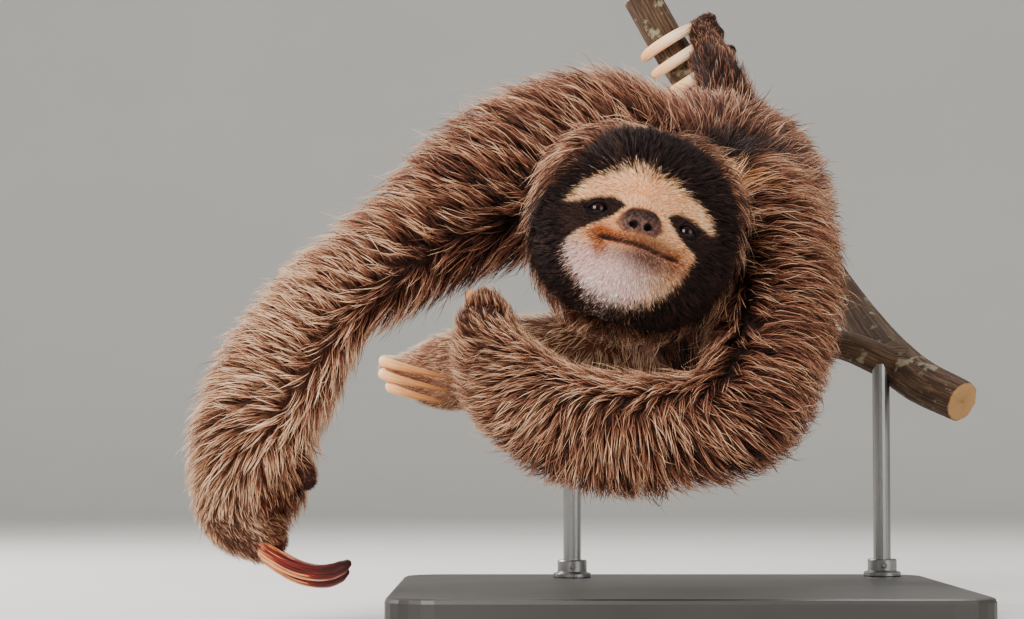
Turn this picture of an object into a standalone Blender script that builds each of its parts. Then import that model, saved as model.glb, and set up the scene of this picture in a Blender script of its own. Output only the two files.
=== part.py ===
"""Three-toed sloth on a forked perch, life size, in metres, +Z up, the face towards -Y."""
import bpy
import bmesh
import math
import numpy as np
from mathutils import Vector, Matrix

# ---- driving dimensions (metres, outside of the coat unless said) ----
CUT = 0.0004
CLAW_GAP = 0.0003
HEAD_ROOM = 0.0028
BODY_VOXEL = 0.0045
BODY_FACES = 1950
HEAD_RADIUS = 0.0600
HEAD_FRONT = 0.0450
HEAD_BACK = 0.0560
HEAD_SQUARE = 2.4
MUZZLE_RISE = 0.0115
EYE_RADIUS = 0.0062
EYE_HALF_SPACING = 0.0258
CLAW_RADIUS = 0.0044
STEM_RADIUS = 0.0145
SIDE_RADIUS = 0.0090
BASE_HALF = (0.180, 0.175)
BASE_THICK = 0.018
ROD_RADIUS = 0.006
ROD_CLEAR = 0.0003
ROD_SINK = 0.008

HEAD_CENTRE = Vector((-0.0353, -0.2020, 0.2279))
HEAD_FORWARD = Vector((0.133, -0.961, 0.242)).normalized()
HEAD_UP = Vector((0.225, 0.267, 0.937))

TRUNK_LINE = [
    ((-0.0060, -0.1080, 0.2590), 0.056),
    ((-0.0020, -0.0700, 0.2560), 0.073),
    ((0.0188, 0.0015, 0.2570), 0.0825),
    ((0.0320, 0.0620, 0.2710), 0.072),
    ((0.0310, 0.0980, 0.2750), 0.051),
]
NECK_LINE = [
    ((-0.0300, -0.1800, 0.2350), 0.0440),
    ((-0.0234, -0.1478, 0.2447), 0.0470),
    ((-0.0120, -0.1150, 0.2560), 0.0480),
]
TAIL_LINE = [
    ((0.0270, 0.1250, 0.2660), 0.0200),
    ((0.0220, 0.1520, 0.2550), 0.0180),
    ((0.0120, 0.1900, 0.2340), 0.0120),
]
ARM_RIGHT_LINE = [
    ((-0.0300, -0.0980, 0.2790), 0.052),
    ((-0.0578, -0.1098, 0.2800), 0.055),
    ((-0.1121, -0.1370, 0.2600), 0.049),
    ((-0.1530, -0.1500, 0.2315), 0.038),
    ((-0.1829, -0.1730, 0.2086), 0.033),
    ((-0.2091, -0.1800, 0.1896), 0.031),
    ((-0.2349, -0.1879, 0.1500), 0.037),
    ((-0.2526, -0.1939, 0.1121), 0.037),
    ((-0.2541, -0.1948, 0.0898), 0.036),
    ((-0.2584, -0.1969, 0.0727), 0.031),
    ((-0.2560, -0.1991, 0.0569), 0.025),
    ((-0.2520, -0.2006, 0.0500), 0.019),
]
ARM_LEFT_LINE = [
    ((0.0200, -0.0950, 0.2450), 0.055),
    ((0.0394, -0.1169, 0.2286), 0.050),
    ((0.0450, -0.1660, 0.1800), 0.039),
    ((0.0241, -0.2248, 0.1275), 0.035),
    ((-0.0108, -0.2262, 0.1169), 0.034),
    ((-0.0405, -0.2261, 0.1152), 0.0365),
    ((-0.0723, -0.2184, 0.1203), 0.035),
    ((-0.1016, -0.2073, 0.1381), 0.032),
    ((-0.1176, -0.1926, 0.1631), 0.0235),
    ((-0.1194, -0.1890, 0.1790), 0.0190),
    ((-0.1200, -0.1860, 0.1870), 0.0135),
]
LEG_RIGHT_LINE = [
    ((0.0200, 0.0800, 0.2600), 0.056),
    ((0.0003, 0.0865, 0.2450), 0.050),
    ((-0.0310, 0.0880, 0.1600), 0.034),
    ((-0.0734, 0.0490, 0.1704), 0.030),
    ((-0.1194, 0.0400, 0.1640), 0.027),
    ((-0.1480, 0.0350, 0.1590), 0.026),
    ((-0.1700, 0.0300, 0.1590), 0.019),
    ((-0.1800, 0.0270, 0.1595), 0.012),
]
LEG_LEFT_LINE = [
    ((0.0560, 0.0800, 0.2550), 0.054),
    ((0.0680, 0.1050, 0.2460), 0.048),
    ((0.0830, 0.1870, 0.2620), 0.033),
    ((0.0660, 0.1960, 0.3050), 0.029),
    ((0.0520, 0.1970, 0.3430), 0.026),
    ((0.0450, 0.2030, 0.3690), 0.023),
    ((0.0370, 0.2110, 0.3850), 0.018),
]
STEM_LINE = [
    (-0.0108, 0.2476, 0.4394),
    (0.0205, 0.2454, 0.3851),
    (0.0820, 0.2647, 0.3010),
    (0.1352, 0.2190, 0.2125),
    (0.1673, 0.1418, 0.1600),
    (0.2010, 0.1020, 0.1370),
]
SIDE_LINE = [
    (0.1673, 0.1418, 0.1600),
    (0.1073, 0.1450, 0.1790),
    (0.0232, 0.1430, 0.1510),
    (-0.0458, 0.1260, 0.1360),
    (-0.0997, 0.0980, 0.1310),
    (-0.1300, 0.0880, 0.1260),
]
ROD_PLACES = {"stand_rod_left": (-0.0640, 0.1168), "stand_rod_right": (0.1500, 0.1380)}
ROD_HEIGHTS = {"stand_rod_left": 0.1330, "stand_rod_right": 0.1640}

# joint name: (point, direction across the cut, radius of the cut)
CUTS = {
    "shoulder_right": ((-0.0800, -0.1220, 0.2770), (-0.82, -0.48, -0.30), 0.0950),
    "elbow_right": ((-0.1760, -0.1690, 0.2140), (-0.80, -0.35, -0.55), 0.0520),
    "wrist_right": ((-0.2541, -0.1948, 0.0850), (-0.10, -0.05, -1.00), 0.0520),
    "shoulder_left": ((0.0450, -0.1400, 0.2070), (0.12, -0.72, -0.68), 0.0850),
    "elbow_left": ((0.0241, -0.2248, 0.1275), (-1.25, -0.76, -0.94), 0.0700),
    "wrist_left": ((-0.1016, -0.2073, 0.1381), (-0.68, 0.35, 0.64), 0.0560),
    "hip_right": ((-0.0190, 0.0873, 0.1940), (-0.340, 0.050, -0.940), 0.0780),
    "knee_right": ((-0.0310, 0.0880, 0.1600), (-1.084, -0.653, -0.805), 0.0530),
    "ankle_right": ((-0.1194, 0.0400, 0.1640), (-0.97, -0.19, -0.14), 0.0420),
    "hip_left": ((0.0770, 0.1460, 0.2560), (0.22, 0.95, 0.22), 0.0700),
    "knee_left": ((0.0830, 0.1870, 0.2620), (0.02, 1.25, 1.15), 0.0600),
    "ankle_left": ((0.0515, 0.1975, 0.3460), (-0.26, 0.20, 0.96), 0.0420),
}
# node name: a point well inside it
BODY_NODES = {
    "trunk": (0.0188, 0.0015, 0.2600),
    "upper_arm_right": (-0.1300, -0.1490, 0.2500),
    "forearm_right": (-0.2349, -0.1879, 0.1500),
    "hand_right": (-0.2560, -0.1980, 0.0650),
    "upper_arm_left": (0.0450, -0.1760, 0.1720),
    "forearm_left": (-0.0405, -0.2261, 0.1152),
    "hand_left": (-0.1176, -0.1926, 0.1631),
    "thigh_right": (-0.0240, 0.0870, 0.1820),
    "shin_right": (-0.0734, 0.0480, 0.1704),
    "foot_right": (-0.1480, 0.0340, 0.1590),
    "thigh_left": (0.0810, 0.1650, 0.2580),
    "shin_left": (0.0660, 0.1960, 0.3050),
    "foot_left": (0.0450, 0.2030, 0.3690),
}
# claw name: (root, bend, tip), each claw a curve drawn towards its bend
CLAWS = {
    "claw_hand_right_1": ((-0.2570, -0.2130, 0.0565), (-0.2180, -0.2150, 0.0245), (-0.1984, -0.2060, 0.0396)),
    "claw_hand_right_2": ((-0.2560, -0.2010, 0.0540), (-0.2190, -0.2030, 0.0200), (-0.2000, -0.1970, 0.0345)),
    "claw_hand_right_3": ((-0.2550, -0.1890, 0.0555), (-0.2190, -0.1910, 0.0230), (-0.2010, -0.1880, 0.0380)),
    "claw_hand_left_1": ((-0.1305, -0.187, 0.1850), (-0.1325, -0.156, 0.2075), (-0.1250, -0.132, 0.1735)),
    "claw_hand_left_2": ((-0.1200, -0.187, 0.1880), (-0.1210, -0.154, 0.2060), (-0.1145, -0.130, 0.1700)),
    "claw_hand_left_3": ((-0.1095, -0.187, 0.1850), (-0.1095, -0.155, 0.2020), (-0.1040, -0.132, 0.1690)),
    "claw_foot_right_1": ((-0.1730, 0.016, 0.1710), (-0.2030, -0.010, 0.1720), (-0.1510, -0.006, 0.1520)),
    "claw_foot_right_2": ((-0.1760, 0.014, 0.1600), (-0.2070, -0.012, 0.1570), (-0.1490, -0.006, 0.1400)),
    "claw_foot_right_3": ((-0.1730, 0.014, 0.1490), (-0.1980, -0.010, 0.1430), (-0.1470, -0.004, 0.1280)),
}
GRIP_CENTRES = {"claw_foot_left_1": 0.72, "claw_foot_left_2": 0.91, "claw_foot_left_3": 1.10}


def clear_scene():
    for item in list(bpy.data.objects):
        bpy.data.objects.remove(item, do_unlink=True)


def material(name, rgb, rough, metal):
    mat = bpy.data.materials.get(name)
    if mat is None:
        mat = bpy.data.materials.new(name)
        mat.use_nodes = True
        shader = mat.node_tree.nodes["Principled BSDF"]
        shader.inputs["Base Color"].default_value = (rgb[0], rgb[1], rgb[2], 1.0)
        shader.inputs["Roughness"].default_value = rough
        shader.inputs["Metallic"].default_value = metal
    return mat


def fur_brown():
    return material("fur_brown", (0.115, 0.062, 0.034), 0.85, 0.0)


def fur_cream():
    return material("fur_cream", (0.52, 0.38, 0.25), 0.85, 0.0)


def eye_dark():
    return material("eye_dark", (0.020, 0.010, 0.006), 0.08, 0.0)


def claw_horn():
    return material("claw_horn", (0.33, 0.19, 0.09), 0.40, 0.0)


def bark_brown():
    return material("bark_brown", (0.085, 0.045, 0.030), 0.75, 0.0)


def base_paint():
    return material("base_paint", (0.040, 0.038, 0.036), 0.45, 0.0)


def rod_steel():
    return material("rod_steel", (0.45, 0.45, 0.46), 0.30, 1.0)


def add_object(name, verts, faces, mat):
    mesh = bpy.data.meshes.new(name)
    mesh.from_pydata([tuple(v) for v in verts], [], faces)
    mesh.materials.append(mat)
    for poly in mesh.polygons:
        poly.use_smooth = True
    item = bpy.data.objects.new(name, mesh)
    bpy.context.scene.collection.objects.link(item)
    return item


def through(points, widths, per_span):
    """Centre line and half widths of a smooth curve through the points."""
    pts = [Vector(p) for p in points]
    ends = [2 * pts[0] - pts[1]] + pts + [2 * pts[-1] - pts[-2]]
    wide = [widths[0]] + list(widths) + [widths[-1]]
    line = []
    sizes = []
    for span in range(len(pts) - 1):
        for step in range(per_span):
            t = step / per_span
            a, b, c, d = ends[span:span + 4]
            line.append(0.5 * (2 * b + (c - a) * t + (2 * a - 5 * b + 4 * c - d) * t * t
                               + (3 * b - a - 3 * c + d) * t ** 3))
            e, f, g, h = wide[span:span + 4]
            sizes.append(0.5 * (2 * f + (g - e) * t + (2 * e - 5 * f + 4 * g - h) * t * t
                                + (3 * f - e - 3 * g + h) * t ** 3))
    line.append(pts[-1])
    sizes.append(widths[-1])
    return line, sizes


def tube(line, sizes, sides, caps=(25, 50, 72), tall=1.0, up=(0.0, 0.0, 1.0)):
    """Vertices and faces of a closed tube, with round or flat ends."""
    rings = []
    count = len(line)
    tangents = []
    for i in range(count):
        tangents.append((line[min(i + 1, count - 1)] - line[max(i - 1, 0)]).normalized())
    stations = [(line[i], sizes[i], tangents[i]) for i in range(count)]
    first = stations[0]
    last = stations[-1]
    for angle in caps:
        out = math.sin(math.radians(angle))
        keep = math.cos(math.radians(angle))
        stations.insert(0, (first[0] - first[2] * first[1] * out, first[1] * keep, first[2]))
        stations.append((last[0] + last[2] * last[1] * out, last[1] * keep, last[2]))
    side = Vector(up).cross(stations[0][2])
    if side.length < 0.1:
        side = Vector((1.0, 0.0, 0.0)).cross(stations[0][2])
    for centre, size, tangent in stations:
        side = (side - tangent * side.dot(tangent)).normalized()
        rise = tangent.cross(side)
        ring = []
        for k in range(sides):
            turn = 2 * math.pi * k / sides
            ring.append(centre + side * (size * math.cos(turn)) + rise * (size * tall * math.sin(turn)))
        rings.append(ring)
    verts = [v for ring in rings for v in ring]
    faces = []
    for i in range(len(rings) - 1):
        for k in range(sides):
            a = i * sides + k
            b = i * sides + (k + 1) % sides
            faces.append((a, b, b + sides, a + sides))
    faces.append(tuple(reversed(range(sides))))
    faces.append(tuple(range((len(rings) - 1) * sides, len(rings) * sides)))
    return verts, faces


def evaluated(item):
    """Bake the modifiers of an object into its own mesh."""
    graph = bpy.context.evaluated_depsgraph_get()
    baked = bpy.data.meshes.new_from_object(item.evaluated_get(graph))
    item.modifiers.clear()
    item.data = baked


def subtract(item, cutter):
    change = item.modifiers.new("cut", "BOOLEAN")
    change.operation = "DIFFERENCE"
    change.solver = "EXACT"
    change.object = cutter
    evaluated(item)


def drop(item):
    bpy.data.objects.remove(item, do_unlink=True)


def body_whole():
    """The whole body but the head, as one smooth closed skin over the coat."""
    verts = []
    faces = []
    for chain in (TRUNK_LINE, ARM_RIGHT_LINE, ARM_LEFT_LINE, LEG_RIGHT_LINE, LEG_LEFT_LINE):
        line, sizes = through([p for p, r in chain], [r for p, r in chain], 5)
        more, around = tube(line, sizes, 28)
        faces += [tuple(i + len(verts) for i in face) for face in around]
        verts += more
    item = add_object("body_whole", verts, faces, fur_brown())
    remesh = item.modifiers.new("remesh", "REMESH")
    remesh.mode = "VOXEL"
    remesh.voxel_size = BODY_VOXEL
    smooth = item.modifiers.new("smooth", "SMOOTH")
    smooth.factor = 0.5
    smooth.iterations = 5
    evaluated(item)
    total = sum(len(poly.vertices) - 2 for poly in item.data.polygons)
    thin = item.modifiers.new("thin", "DECIMATE")
    thin.ratio = BODY_FACES / total
    thin.use_collapse_triangulate = True
    evaluated(item)
    return item


def head_axes():
    back = -HEAD_FORWARD
    up = (HEAD_UP - back * HEAD_UP.dot(back)).normalized()
    right = up.cross(HEAD_FORWARD).normalized()
    return right, up, HEAD_FORWARD


def bump(x, y, cx, cy, wx, wy):
    return math.exp(-0.5 * (((x - cx) / wx) ** 2 + ((y - cy) / wy) ** 2))


def head_point(ray):
    """Outside of the head's coat along a ray in head axes: x across, y up, z forward."""
    x, y, z = ray
    deep = HEAD_FRONT if z > 0 else HEAD_BACK
    p = HEAD_SQUARE
    total = (abs(x) / HEAD_RADIUS) ** p + (abs(y) / HEAD_RADIUS) ** p + (abs(z) / deep) ** p
    size = total ** (-1.0 / p)
    x, y, z = x * size, y * size, z * size
    if z > 0:
        lift = MUZZLE_RISE * bump(x, y, 0.0, -0.0160, 0.0145, 0.0125)
        lift += 0.0022 * bump(x, y, 0.0, -0.0105, 0.0065, 0.0055)
        lift += 0.0020 * bump(x, y, 0.0, -0.0340, 0.0140, 0.0070)
        lift += 0.0020 * bump(x, y, 0.0, 0.0150, 0.0330, 0.0110)
        lift += 0.0020 * (bump(x, y, 0.0320, -0.0270, 0.0120, 0.0130)
                          + bump(x, y, -0.0320, -0.0270, 0.0120, 0.0130))
        lift -= 0.0042 * (bump(x, y, EYE_HALF_SPACING, -0.0037, 0.0100, 0.0075)
                          + bump(x, y, -EYE_HALF_SPACING, -0.0037, 0.0100, 0.0075))
        lift -= 0.0016 * bump(x, y, 0.0, -0.0245, 0.0180, 0.0016)
        z += lift * min(1.0, z / 0.020)
    return Vector((x, y, z))


def head_place(local):
    right, up, forward = head_axes()
    return HEAD_CENTRE + right * local[0] + up * local[1] + forward * local[2]


FACE_BANDS = (0.05, 0.10, 0.15, 0.20, 0.25, 0.30, 0.36, 0.42, 0.49, 0.57, 0.66, 0.76, 0.88,
              1.02, 1.18, 1.36, 1.58, 1.84, 2.14, 2.48, 2.80)
ROOM_BANDS = (0.40, 0.75, 1.05, 1.35, 1.65, 1.95, 2.25, 2.55, 2.85)


def head_whole(around, bands, grow):
    """The head and its coat: rings of points opening out round the nose."""
    aim = Vector((0.0, -0.012, HEAD_FRONT)).normalized()
    tip_up = Vector((0.0, 1.0, 0.0))
    tip_right = tip_up.cross(aim).normalized()
    tip_up = aim.cross(tip_right).normalized()
    local = [head_point(aim)]
    for band in bands:
        for k in range(around):
            turn = 2 * math.pi * k / around
            ray = aim * math.cos(band) + (tip_right * math.cos(turn) + tip_up * math.sin(turn)) * math.sin(band)
            local.append(head_point(ray))
    local.append(head_point(-aim))
    verts = []
    for point in local:
        verts.append(head_place(point * (1.0 + grow / point.length)))
    faces = []
    for k in range(around):
        faces.append((0, 1 + k, 1 + (k + 1) % around))
    for i in range(len(bands) - 1):
        for k in range(around):
            a = 1 + i * around + k
            b = 1 + i * around + (k + 1) % around
            faces.append((a, a + around, b + around, b))
    last = len(verts) - 1
    start = 1 + (len(bands) - 1) * around
    for k in range(around):
        faces.append((last, start + (k + 1) % around, start + k))
    return add_object("head", verts, faces, fur_cream())


def ball(name, centre, radius, mat, rows=8, cols=11):
    verts = [centre + Vector((0, 0, radius))]
    for i in range(1, rows):
        tilt = math.pi * i / rows
        for k in range(cols):
            turn = 2 * math.pi * k / cols
            verts.append(centre + Vector((math.sin(tilt) * math.cos(turn), math.sin(tilt) * math.sin(turn),
                                          math.cos(tilt))) * radius)
    verts.append(centre - Vector((0, 0, radius)))
    faces = []
    for k in range(cols):
        faces.append((0, 1 + k, 1 + (k + 1) % cols))
        for i in range(rows - 2):
            a = 1 + i * cols + k
            b = 1 + i * cols + (k + 1) % cols
            faces.append((a, a + cols, b + cols, b))
        a = 1 + (rows - 2) * cols
        faces.append((len(verts) - 1, a + (k + 1) % cols, a + k))
    return add_object(name, verts, faces, mat)


def disc(centre, direction, radius):
    axis = Vector(direction).normalized()
    verts, faces = tube([Vector(centre) - axis * CUT / 2, Vector(centre) + axis * CUT / 2],
                        [radius, radius], 20, caps=())
    return add_object("cutter", verts, faces, fur_brown())


def split(item):
    """Loose bodies of a mesh as lists of faces."""
    mesh = bmesh.new()
    mesh.from_mesh(item.data)
    bmesh.ops.triangulate(mesh, faces=mesh.faces[:])
    left = set(mesh.faces)
    bodies = []
    while left:
        seed = left.pop()
        group = {seed}
        edge = [seed]
        while edge:
            face = edge.pop()
            for line in face.edges:
                for other in line.link_faces:
                    if other in left:
                        left.discard(other)
                        group.add(other)
                        edge.append(other)
        bodies.append([[tuple(v.co) for v in face.verts] for face in group])
    mesh.free()
    return bodies


def body_nodes(item):
    """Name each loose body after the node whose inner point it surrounds."""
    bodies = split(item)
    drop(item)
    for name, inner in BODY_NODES.items():
        best = None
        for body in bodies:
            turn = 0.0
            for a, b, c in body:
                va, vb, vc = Vector(a) - Vector(inner), Vector(b) - Vector(inner), Vector(c) - Vector(inner)
                la, lb, lc = va.length, vb.length, vc.length
                top = va.dot(vb.cross(vc))
                low = la * lb * lc + va.dot(vb) * lc + vb.dot(vc) * la + vc.dot(va) * lb
                turn += math.atan2(top, low)
            if abs(turn) > math.pi:
                best = body
        if best is None:
            raise ValueError("no body holds " + name)
        index = {}
        faces = []
        for triangle in best:
            faces.append(tuple(index.setdefault(corner, len(index)) for corner in triangle))
        add_object(name, list(index), faces, fur_brown())
        bodies.remove(best)
    if bodies:
        raise ValueError("loose bodies left over: %d" % len(bodies))


def claw_line(root, bend, tip):
    a, b, c = Vector(root), Vector(bend), Vector(tip)
    line = []
    for i in range(6):
        t = i / 5
        line.append(a * (1 - t) ** 2 + b * 2 * t * (1 - t) + c * t * t)
    return line


def claw_sizes(grow):
    return [grow + CLAW_RADIUS * w for w in (0.96, 1.0, 0.97, 0.86, 0.62, 0.18)]


def grip_line(place):
    """A claw held round the stem, from the foot's side over the front to the far side."""
    line, sizes = through(STEM_LINE, [STEM_RADIUS] * len(STEM_LINE), 8)
    spot = place * 8
    low = int(spot)
    centre = line[low] + (line[low + 1] - line[low]) * (spot - low)
    along = (line[low + 1] - line[low]).normalized()
    near = Vector((0.0, -1.0, 0.0))
    near = (near - along * near.dot(along)).normalized()
    side = near.cross(along).normalized()
    reach = STEM_RADIUS + CLAW_RADIUS + 0.0012
    points = []
    for i in range(6):
        turn = math.radians(-58 + 200 * i / 5)
        wide = reach + 0.006 * max(0.0, 1 - i / 2)
        points.append(centre + near * (wide * math.cos(turn)) - side * (wide * math.sin(turn)))
    return points


def claws():
    lines = {name: claw_line(*where) for name, where in CLAWS.items()}
    for name, place in GRIP_CENTRES.items():
        lines[name] = grip_line(place)
    for name, line in lines.items():
        owner = bpy.data.objects[name.replace("claw_", "")[:-2]]
        verts, faces = tube(line, claw_sizes(CLAW_GAP), 6, caps=(50,), tall=1.15)
        cutter = add_object("cutter", verts, faces, claw_horn())
        subtract(owner, cutter)
        drop(cutter)
        verts, faces = tube(line, claw_sizes(0.0), 6, caps=(50,), tall=1.15)
        add_object(name, verts, faces, claw_horn())


def perch():
    """Forked branch, cut square at its three ends, with sockets for the rods."""
    line, sizes = through(STEM_LINE, [STEM_RADIUS * w for w in (0.96, 0.98, 1.0, 1.0, 1.1, 1.02)], 4)
    verts, faces = tube(line, sizes, 11, caps=())
    branch = add_object("perch_branch", verts, faces, bark_brown())
    line, sizes = through(SIDE_LINE, [SIDE_RADIUS * w for w in (1.35, 1.12, 1.0, 1.0, 0.97, 0.95)], 3)
    verts, faces = tube(line, sizes, 8, caps=())
    side = add_object("side", verts, faces, bark_brown())
    change = branch.modifiers.new("fork", "BOOLEAN")
    change.operation = "UNION"
    change.solver = "EXACT"
    change.object = side
    evaluated(branch)
    drop(side)
    return branch


def rod(name, grow):
    x, y = ROD_PLACES[name]
    low = BASE_THICK - ROD_SINK - grow
    high = ROD_HEIGHTS[name] + grow
    verts, faces = tube([Vector((x, y, low)), Vector((x, y, high))], [ROD_RADIUS + grow] * 2, 20,
                        caps=(), up=(0.0, 1.0, 0.0))
    return add_object(name, verts, faces, rod_steel())


def base_slab():
    item = bmesh.new()
    bmesh.ops.create_cube(item, size=1.0)
    bmesh.ops.scale(item, vec=(2 * BASE_HALF[0], 2 * BASE_HALF[1], BASE_THICK), verts=item.verts)
    bmesh.ops.translate(item, vec=(0, 0, BASE_THICK / 2), verts=item.verts)
    upright = [e for e in item.edges if abs(e.verts[0].co.z - e.verts[1].co.z) > 0.01]
    bmesh.ops.bevel(item, geom=upright, offset=0.030, segments=6, affect="EDGES", profile=0.5)
    top = [e for e in item.edges if all(v.co.z > BASE_THICK - 0.0001 for v in e.verts)]
    bmesh.ops.bevel(item, geom=top, offset=0.003, segments=2, affect="EDGES", profile=0.5)
    mesh = bpy.data.meshes.new("stand_base")
    item.to_mesh(mesh)
    item.free()
    mesh.materials.append(base_paint())
    slab = bpy.data.objects.new("stand_base", mesh)
    bpy.context.scene.collection.objects.link(slab)
    return slab


def stand(branch):
    slab = base_slab()
    for name in ROD_PLACES:
        cutter = rod(name, ROD_CLEAR)
        subtract(slab, cutter)
        subtract(branch, cutter)
        drop(cutter)
        rod(name, 0.0)


def eyes(head):
    right, up, forward = head_axes()
    for name, side in (("eye_right", -1.0), ("eye_left", 1.0)):
        front = head_point(Vector((side * EYE_HALF_SPACING, -0.0037, 0.0400)))
        centre = head_place((side * EYE_HALF_SPACING, -0.0037, front.z - 0.0046))
        cutter = ball("cutter", centre, EYE_RADIUS + 0.0003, eye_dark())
        subtract(head, cutter)
        drop(cutter)
        ball(name, centre, EYE_RADIUS, eye_dark())


def plug(name, chain, grow):
    """A short round piece that stands in a socket of the trunk."""
    line, sizes = through([p for p, r in chain], [r + grow for p, r in chain], 2)
    verts, faces = tube(line, sizes, 16, caps=(40,))
    return add_object(name, verts, faces, fur_brown())


def main():
    clear_scene()
    body = body_whole()
    neck = plug("neck", NECK_LINE, 0.0)
    plug("tail", TAIL_LINE, 0.0)
    room = head_whole(20, ROOM_BANDS, HEAD_ROOM)
    subtract(body, room)
    subtract(neck, room)
    drop(room)
    for name, chain in (("neck", NECK_LINE), ("tail", TAIL_LINE)):
        room = plug("cutter", chain, CUT)
        subtract(body, room)
        drop(room)
    for point, direction, radius in CUTS.values():
        cutter = disc(point, direction, radius)
        subtract(body, cutter)
        drop(cutter)
    body_nodes(body)
    head = head_whole(34, FACE_BANDS, 0.0)
    eyes(head)
    claws()
    stand(perch())


main()
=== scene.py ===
"""Looks of the life-size three-toed sloth: skin, face, eyes, claws and coat, its branch and the stand."""
import math

import bmesh
import bpy
import numpy as np
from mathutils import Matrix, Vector
from mathutils.bvhtree import BVHTree
from mathutils.kdtree import KDTree
from mathutils.noise import turbulence


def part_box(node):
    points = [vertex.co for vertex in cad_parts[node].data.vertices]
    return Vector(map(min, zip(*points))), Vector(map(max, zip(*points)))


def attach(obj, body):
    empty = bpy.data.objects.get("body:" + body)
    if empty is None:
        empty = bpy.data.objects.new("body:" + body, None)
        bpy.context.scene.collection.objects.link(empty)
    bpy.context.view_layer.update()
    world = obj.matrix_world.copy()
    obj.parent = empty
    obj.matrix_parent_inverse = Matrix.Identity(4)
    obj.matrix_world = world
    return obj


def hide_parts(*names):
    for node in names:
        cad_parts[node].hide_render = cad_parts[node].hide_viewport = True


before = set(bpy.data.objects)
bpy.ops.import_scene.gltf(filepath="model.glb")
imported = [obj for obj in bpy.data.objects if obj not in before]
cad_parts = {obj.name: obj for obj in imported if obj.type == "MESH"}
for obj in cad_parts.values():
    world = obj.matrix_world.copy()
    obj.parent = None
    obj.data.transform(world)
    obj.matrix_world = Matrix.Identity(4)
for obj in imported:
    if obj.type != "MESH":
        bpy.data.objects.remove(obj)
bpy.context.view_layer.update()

# ---- Skin of the body and head -------------------------------------------------------------------
# Under its coat a sloth is lean: long thin limbs, a barrel trunk and a round flat-faced head. The skin is
# one closed surface, fused from a tube along each limb and the head, and lies inside the solids by the
# coat's depth. It is tanned hide, and carries the same markings as the hair that grows from it.

MM = 0.001
TO_MM = 1000.0
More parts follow.
